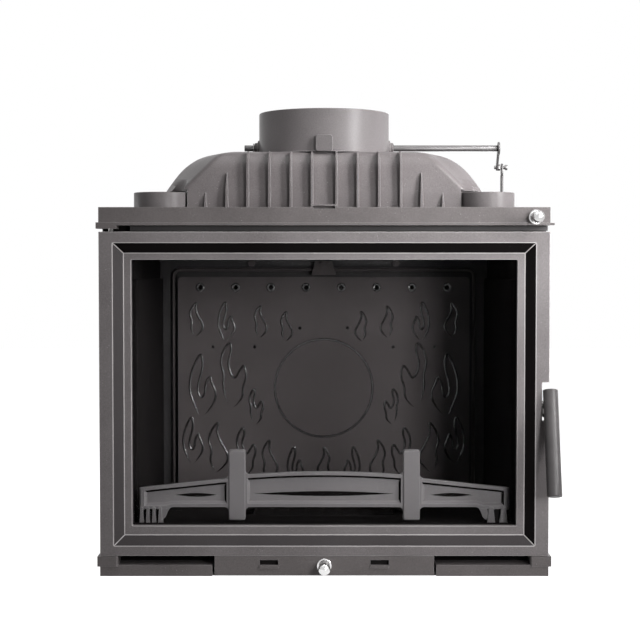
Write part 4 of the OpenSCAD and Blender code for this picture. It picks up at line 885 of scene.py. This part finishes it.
guard = {
    "floor": 70, "railY": (-164, -154), "border": 5, "recess": 5, "slope": 3.8, "lap": 2, "flare": 5,
    "postX": 137, "postW": 26.5, "postY": (-166, -150), "postZ": (77.8, 188.5), "postCorner": 4,
    # heights over the hearth plate
    "low": 28.7, "knee": 79.4, "middle": 84, "wing": 73, "end": 59, "endLow": 25.7,
    "wingStep": (14, 4), "halfWidth": 291.5, "endIn": 4, "archSteps": 8,
    "slitDepth": 4, "middleSlit": (12, 49, 8.32), "wingSlit": (17, 18, 47, 6.4), "slitSteps": 8,
    "bead": ((0, 24), (3.5, 24), (4.5, 26), (4.5, 57), (3, 59), (0, 59.5)), "beadIn": (4.5, 4.6),
    "footX": (252.8, 291.5), "footY": (-166, -144), "footLow": 0.3, "footStep": 1.2,
    "bracket": ((-16, 29.7), (-10, 26.7), (-6, 20), (-3, 12), (2, 8), (5, 14), (3, 28.7)), "bracketIn": 1,
    "footRibs": {-1: (4, 1.5), 1: (2, 3.2)},  # how many, and how far each side is drawn in
    "footBack": ((3, 3), (8, 1), (0.4, 2)),
}


def overHearth(points, side=1):
    # the left side is the mirrored right one
    return [(side * x, guard["floor"] + z) for x, z in points][::side]


def lens(start, end, z, height):
    shares = [n / guard["slitSteps"] for n in range(guard["slitSteps"] + 1)]
    upper = [(between(start, end, t), z + height / 2 * math.sin(math.pi * t)) for t in shares]
    return upper + [(x, 2 * z - high) for x, high in reversed(upper[1:-1])]


def panelBar(outline, slit):
    # a bar with a sunk panel in its front and a slit through the panel
    g = guard
    bm = bmesh.new()
    face = plate(bm, outline, *g["railY"])
    bmesh.ops.recalc_face_normals(bm, faces=bm.faces)
    for width, depth in ((g["border"], 0), (g["slope"], g["recess"])):
        bmesh.ops.inset_region(bm, faces=[face], thickness=width * mm, depth=-depth * mm, use_even_offset=True)
    front = g["railY"][0]
    return cut(bm, [shape(plate, slit, front - g["slitDepth"], front + g["recess"] + g["slitDepth"])], "guardBar")


def guardBars():
    g = guard
    inner, outer = g["postX"] - g["postW"] / 2, g["postX"] + g["postW"] / 2
    lap, f, low, steps = g["lap"], g["flare"], g["low"], g["archSteps"]
    arch = [(between(inner - f, f - inner, t), between(g["knee"], g["middle"], 1 - (2 * t - 1) ** 2))
            for t in [n / steps for n in range(steps + 1)]]
    middle = [(-inner - lap, low - f), (f - inner, low), (inner - f, low), (inner + lap, low - f),
              (inner + lap, g["knee"] + f), *arch, (-inner - lap, g["knee"] + f)]
    inset, z, height = g["middleSlit"]
    bars = [panelBar(overHearth(middle), overHearth(lens(inset - inner, inner - inset, z, height)))]
    foot, end = g["footX"][0], g["halfWidth"] - g["endIn"]
    stepStart, stepEnd = g["wingStep"]
    wing = [(outer - lap, low - f), (outer + f, low), (foot - stepStart, low), (foot - stepEnd, g["endLow"]),
            (end, g["endLow"]), (end, g["end"]), (outer + f, g["wing"]), (outer - lap, g["wing"] + f)]
    fromPost, fromFoot, z, height = g["wingSlit"]
    slit = lens(outer + fromPost, foot - fromFoot, z, height)
    return bars + [panelBar(overHearth(wing, side), overHearth(slit, side)) for side in (-1, 1)]


def inGuardRecess(corners, normal):
    # the faces given painted shade: the recesses' upper and right slopes, and the slits
    front = guard["railY"][0]
    floor = front + guard["recess"]
    near, far = min(c.y for c in corners), max(c.y for c in corners)
    slope = abs(near - front) < nearly and abs(far - floor) < nearly and max(-normal.z, -normal.x) > turned
    return slope or (near > floor - nearly and floor + 1 < far < guard["railY"][1] - 2 * nearly)


def buildGuard():
    g = guard
    z0, low = g["floor"], g["low"]
    left, right = g["footX"]
    front, back = g["footY"]
    bm = loaded(*guardBars())
    for side in (-1, 1):
        inwards, behind = g["beadIn"]
        place = (side * (g["halfWidth"] - inwards), g["railY"][0] + behind, z0)
        lathe(bm, g["bead"], place, steps=20)
        bracket = overHearth([(left + x, z) for x, z in g["bracket"]], side)
        plate(bm, bracket, g["railY"][0] + g["bracketIn"], g["railY"][1] - g["bracketIn"])
        ribs, gap = g["footRibs"][side]
        width = (right - left) / ribs
        for n in range(ribs):
            a, b = left + n * width + gap, left + (n + 1) * width - gap
            outline = [(a, g["footLow"]), (b, g["footLow"]), (b - gap, low), (a + gap, low)]
            plate(bm, overHearth(outline, side), front + (0 if n % 2 else g["footStep"]), back)
    rails = piece("logGuard", bm, guardIron, stands=["log_guard"], bevel=(0.8, 3, 28))
    # painted shade in the recesses and slits
    paintFaces(rails, guardShade, inGuardRecess)
    # painted highlight on the rounded edges
    paintEdges(rails, edgeHighlightIron)
    feet, posts = bmesh.new(), bmesh.new()
    (inX, outX), (inFront, inBack), (up, above) = g["footBack"]
    for side in (-1, 1):
        box(feet, sorted((side * (left + inX), side * (right - outX))), (front + inFront, back - inBack),
            (z0 + up, z0 + low + above))
        across = (side * g["postX"] - g["postW"] / 2, side * g["postX"] + g["postW"] / 2)
        plate(posts, roundedCorner(rectangle(across, g["postZ"]), g["postCorner"], 4), *g["postY"])
    # the backing behind the foot ribs is near black, painted shade in the gaps between them
    piece("guardFeet", feet, sootAndShadeIron)
    piece("guardPosts", posts, guardIron, bevel=(2.4, 4, 40))


buildGuard()
print("log guard made")


fireback = {
    "y": (150, 158), "halfWidth": 259, "low": 70, "top": 457.4, "corner": 7,
    "ports": ((31.3, 439.1), (93.9, 439.1), (156.5, 439.1), (219, 439.1)), "portHole": 3.5,
    "smallPorts": ((42.4, 367), (122.9, 333), (197.2, 333)), "smallHole": 3, "holeSpan": (-12, 12),
    # the raised ring round a port: out from its middle, and back from the plate's face
    "stud": ((3.5, 0.5), (3.9, -1.6), (4.9, -2.2), (6.4, -2.2), (7.5, -1.5), (8, 0.5), (3.5, 0.5)),
    "ringZ": 260, "ringRadius": 86.8, "lineRadius": 2.1, "lineHeight": 1.7, "lineTips": 0.3, "ringSunk": 0.4,
    # across and up on the section of the large ring
    "ringSection": ((-1, 0), (-0.8, 0.6), (-0.35, 0.95), (0.35, 0.95), (0.8, 0.6), (1, 0), (-1, 0)),
    "flames": [
        # tongue, across, foot height, height
        ("single", 226, 352, 62), ("forked", 172, 346, 70), ("single", 112, 350, 58), ("single", 66, 344, 54),
        ("forked", 214, 214, 112), ("curled", 160, 226, 118), ("curled", 120, 196, 64),
        ("forked", 232, 128, 84), ("single", 188, 110, 92), ("curled", 138, 104, 88), ("single", 96, 96, 74),
        ("forked", 50, 92, 66), ("single", 0, 98, 58),
    ],
}

# outlines of three plain flame tongues, as shares of their height: across and up
tongues = {
    "single": [(0.02, 0), (-0.16, 0.14), (-0.2, 0.34), (-0.07, 0.55), (0.03, 0.78), (-0.02, 1), (0.12, 0.84),
               (0.2, 0.62), (0.11, 0.42), (0.17, 0.2), (0.08, 0.05)],
    "forked": [(-0.03, 0), (-0.17, 0.16), (-0.21, 0.34), (-0.13, 0.5), (-0.11, 0.62), (-0.03, 0.48), (-0.03, 0.33),
               (0.03, 0.24), (0.1, 0.36), (0.06, 0.56), (0, 0.76), (0.03, 1), (0.14, 0.8), (0.21, 0.58),
               (0.22, 0.34), (0.13, 0.12), (0.08, 0)],
    "curled": [(0, 0), (-0.14, 0.12), (-0.13, 0.3), (-0.2, 0.46), (-0.16, 0.66), (-0.08, 0.54), (-0.02, 0.42),
               (0.05, 0.5), (0.09, 0.68), (0.03, 0.84), (0.05, 1), (0.16, 0.86), (0.2, 0.66), (0.14, 0.48),
               (0.17, 0.28), (0.1, 0.08)],
}


def reliefLine(points):
    # a raised line with thin ends, half sunk in the plate
    f = fireback
    curve = bpy.data.curves.new("flameLine", "CURVE")
    curve.dimensions = "3D"
    curve.bevel_depth = f["lineRadius"] * mm
    curve.bevel_resolution = 2
    curve.resolution_u = 5
    curve.use_fill_caps = True
    line = curve.splines.new("NURBS")
    line.points.add(len(points) - 1)
    for knot, (x, z) in zip(line.points, points):
        knot.co = (*point(x, f["y"][0] + f["lineRadius"] - f["lineHeight"], z), 1)
    line.points[0].radius = line.points[-1].radius = f["lineTips"]
    line.order_u = 3
    line.use_endpoint_u = True
    return evaluated(link("flameLine", curve))


def buildFireback():
    f = fireback
    half, y = f["halfWidth"], f["y"][0]
    holes = bmesh.new()
    for places, radius in ((f["ports"], f["portHole"]), (f["smallPorts"], f["smallHole"])):
        for x, z in bothSides(places):
            disc(holes, radius, f["holeSpan"], (x, y, z), "y", 24)
    outline = roundedCorner(rectangle((-half, half), (f["low"], f["top"])), f["corner"], 4)
    form = cut(shape(plate, outline, *f["y"]), [holes], "firebackPlate")
    piece("firebackPlate", form, fireboxIron, stands=["fireback"])


def buildRelief():
    f = fireback
    y = f["y"][0]
    bm = bmesh.new()
    for x, z in bothSides(f["ports"]):
        lathe(bm, f["stud"], (x, y, z), "y", 28)
    ring = [(f["ringRadius"] + f["lineRadius"] * a, between(f["ringSunk"], -f["lineHeight"], b))
            for a, b in f["ringSection"]]
    lathe(bm, ring, (0, y, f["ringZ"]), "y", 144)
    for kind, x, foot, height in f["flames"]:
        for side in ((-1, 1) if x else (1,)):
            bm.from_mesh(reliefLine([(side * (x + a * height), foot + b * height) for a, b in tongues[kind]]))
    # the relief lines are near black as painted shade
    piece("firebackRelief", bm, reliefShadeIron)


rim = {"half": 265, "top": 467.8, "low": 70.5, "corner": 9, "cornerSteps": 5, "width": 6, "wrap": 0.2,
       "root": 165, "height": 8.4, "sectionSteps": 6}


def rimLoop(side, turn=None):
    # the half-round section of the rim at an angle round its corner, or at its foot
    r = rim
    loop = []
    for k in range(r["sectionSteps"] + 1):
        a = math.pi * k / r["sectionSteps"]
        off = r["width"] / 2 - math.cos(a) * (r["width"] / 2 + r["wrap"])
        x, z = r["half"] + off, r["low"]
        if turn is not None:
            x, z = arc((r["half"] - r["corner"], r["top"] - r["corner"]), r["corner"] + off, turn, turn, 1)[0]
        loop.append((side * x, r["root"] - math.sin(a) * r["height"], z))
    return loop


def buildRim():
    turns = [90 * n / rim["cornerSteps"] for n in range(rim["cornerSteps"] + 1)]
    loops = [rimLoop(-1), *[rimLoop(-1, turn) for turn in turns], *[rimLoop(1, turn) for turn in turns[::-1]],
             rimLoop(1)]
    piece("backRim", shape(loft, loops), fireboxIron, stands=["back_rim"])


clamp = {"half": 22.3, "taper": 7.5, "low": 461, "top": 486, "y": (149, 165)}


def buildClamp():
    c = clamp
    narrow = c["half"] - c["taper"]
    outline = [(-c["half"], c["low"]), (c["half"], c["low"]), (narrow, c["top"]), (-narrow, c["top"])]
    piece("firebackClamp", shape(plate, outline, *c["y"]), fireboxIron, stands=["fireback_clamp"],
          bevel=(1.2, 3, 35))


buildFireback()
buildRelief()
buildRim()
buildClamp()
print("fireback made")


studio = {
    "floorColour": (0.6, 0.6, 0.6), "floorCloud": 1.03, "floorSize": 6, "floorDrop": 0.0003, "floorGlow": 0.94,
    "ambient": 0.07,
    "lamps": [
        # name, place, aim, size, spread in degrees, power
        ("keyRight", (0.82, -1.75, 0.62), (0.28, -0.2, 0.5), (0.35, 0.7), 75, 4.25),
        ("frontLeft", (-0.75, -1.2, 1.75), (-0.1, -0.1, 0.62), (0.4, 0.4), 40, 0.12),
        ("topSoft", (-0.1, -0.35, 1.6), (-0.05, -0.1, 0.6), (0.9, 0.4), 100, 1.9),
        ("sideRight", (1.2, -0.85, 0.98), (0.3, -0.1, 0.66), (0.4, 0.9), 54, 4.2),
        ("backLow", (0.1, 1.7, 0.3), (0, 0.1, 0.35), (1.0, 0.5), 120, 6),
        ("leftLow", (-1.5, 0.35, 0.4), (-0.3, 0, 0.35), (0.5, 0.5), 120, 3),
        ("highRight", (0.85, -0.6, 1.35), (0.2, -0.1, 0.66), (0.3, 0.3), 44, 1.25),
    ],
    "camera": {"place": (-0.0066, -2.4692, 0.478), "pitch": 2.12, "lens": 82.97, "sensor": 36.0, "reach": 50},
}


def visibleRays(tree):
    path = tree.nodes.new("ShaderNodeLightPath")
    seen = calc(tree, "MAXIMUM", path.outputs["Is Camera Ray"], path.outputs["Is Glossy Ray"])
    return calc(tree, "MAXIMUM", seen, path.outputs["Is Transmission Ray"])


def buildFloor():
    s = studio
    bm = bmesh.new()
    bmesh.ops.create_grid(bm, x_segments=1, y_segments=1, size=s["floorSize"])
    bmesh.ops.translate(bm, verts=bm.verts, vec=(0, 0, -s["floorDrop"]))
    mesh = bpy.data.meshes.new("floor")
    bm.to_mesh(mesh)
    bm.free()
    floor = link("floor", mesh)
    material, tree, shader, place = newMaterial("paleFloor")
    setInputs(shader, {"Roughness": 0.9, "Specular IOR Level": 0.2, "Emission Color": (1, 1, 1, 1)})
    cloudy = tuple(c * s["floorCloud"] for c in s["floorColour"])
    colour = mixColour(tree, noise(tree, place, 1.5, 2.0), s["floorColour"], cloudy)
    tree.links.new(colour, shader.inputs["Base Color"])
    tree.links.new(calc(tree, "MULTIPLY", visibleRays(tree), s["floorGlow"]), shader.inputs["Emission Strength"])
    mesh.materials.append(material)


def buildBackdrop():
    # white wherever it is seen, and only a little light from all round
    world = bpy.data.worlds.new("studio")
    bpy.context.scene.world = world
    world.use_nodes = True
    tree = world.node_tree
    background = tree.nodes["Background"]
    background.inputs["Color"].default_value = (1, 1, 1, 1)
    tree.links.new(ranged(tree, visibleRays(tree), 0, 1, studio["ambient"], 1.0), background.inputs["Strength"])


def addLamp(name, place, aim, size, spread, power):
    lamp = bpy.data.lights.new(name, "AREA")
    lamp.shape = "RECTANGLE"
    lamp.size, lamp.size_y = size
    lamp.spread = math.radians(spread)
    lamp.energy = power
    obj = link(name, lamp)
    obj.location = place
    obj.rotation_euler = (Vector(aim) - Vector(place)).to_track_quat("-Z", "Y").to_euler()
    obj.visible_camera = False


def addCamera():
    view = studio["camera"]
    camera = link("camera", bpy.data.cameras.new("camera"))
    camera.data.sensor_width = view["sensor"]
    camera.data.lens = view["lens"]
    camera.data.clip_end = view["reach"]
    camera.location = view["place"]
    camera.rotation_euler = (math.radians(90 - view["pitch"]), 0, 0)
    bpy.context.scene.camera = camera


buildFloor()
buildBackdrop()
for lamp in studio["lamps"]:
    addLamp(*lamp)
addCamera()
bpy.context.scene.view_settings.view_transform = "Standard"
print("floor, backdrop, lamps and camera set")
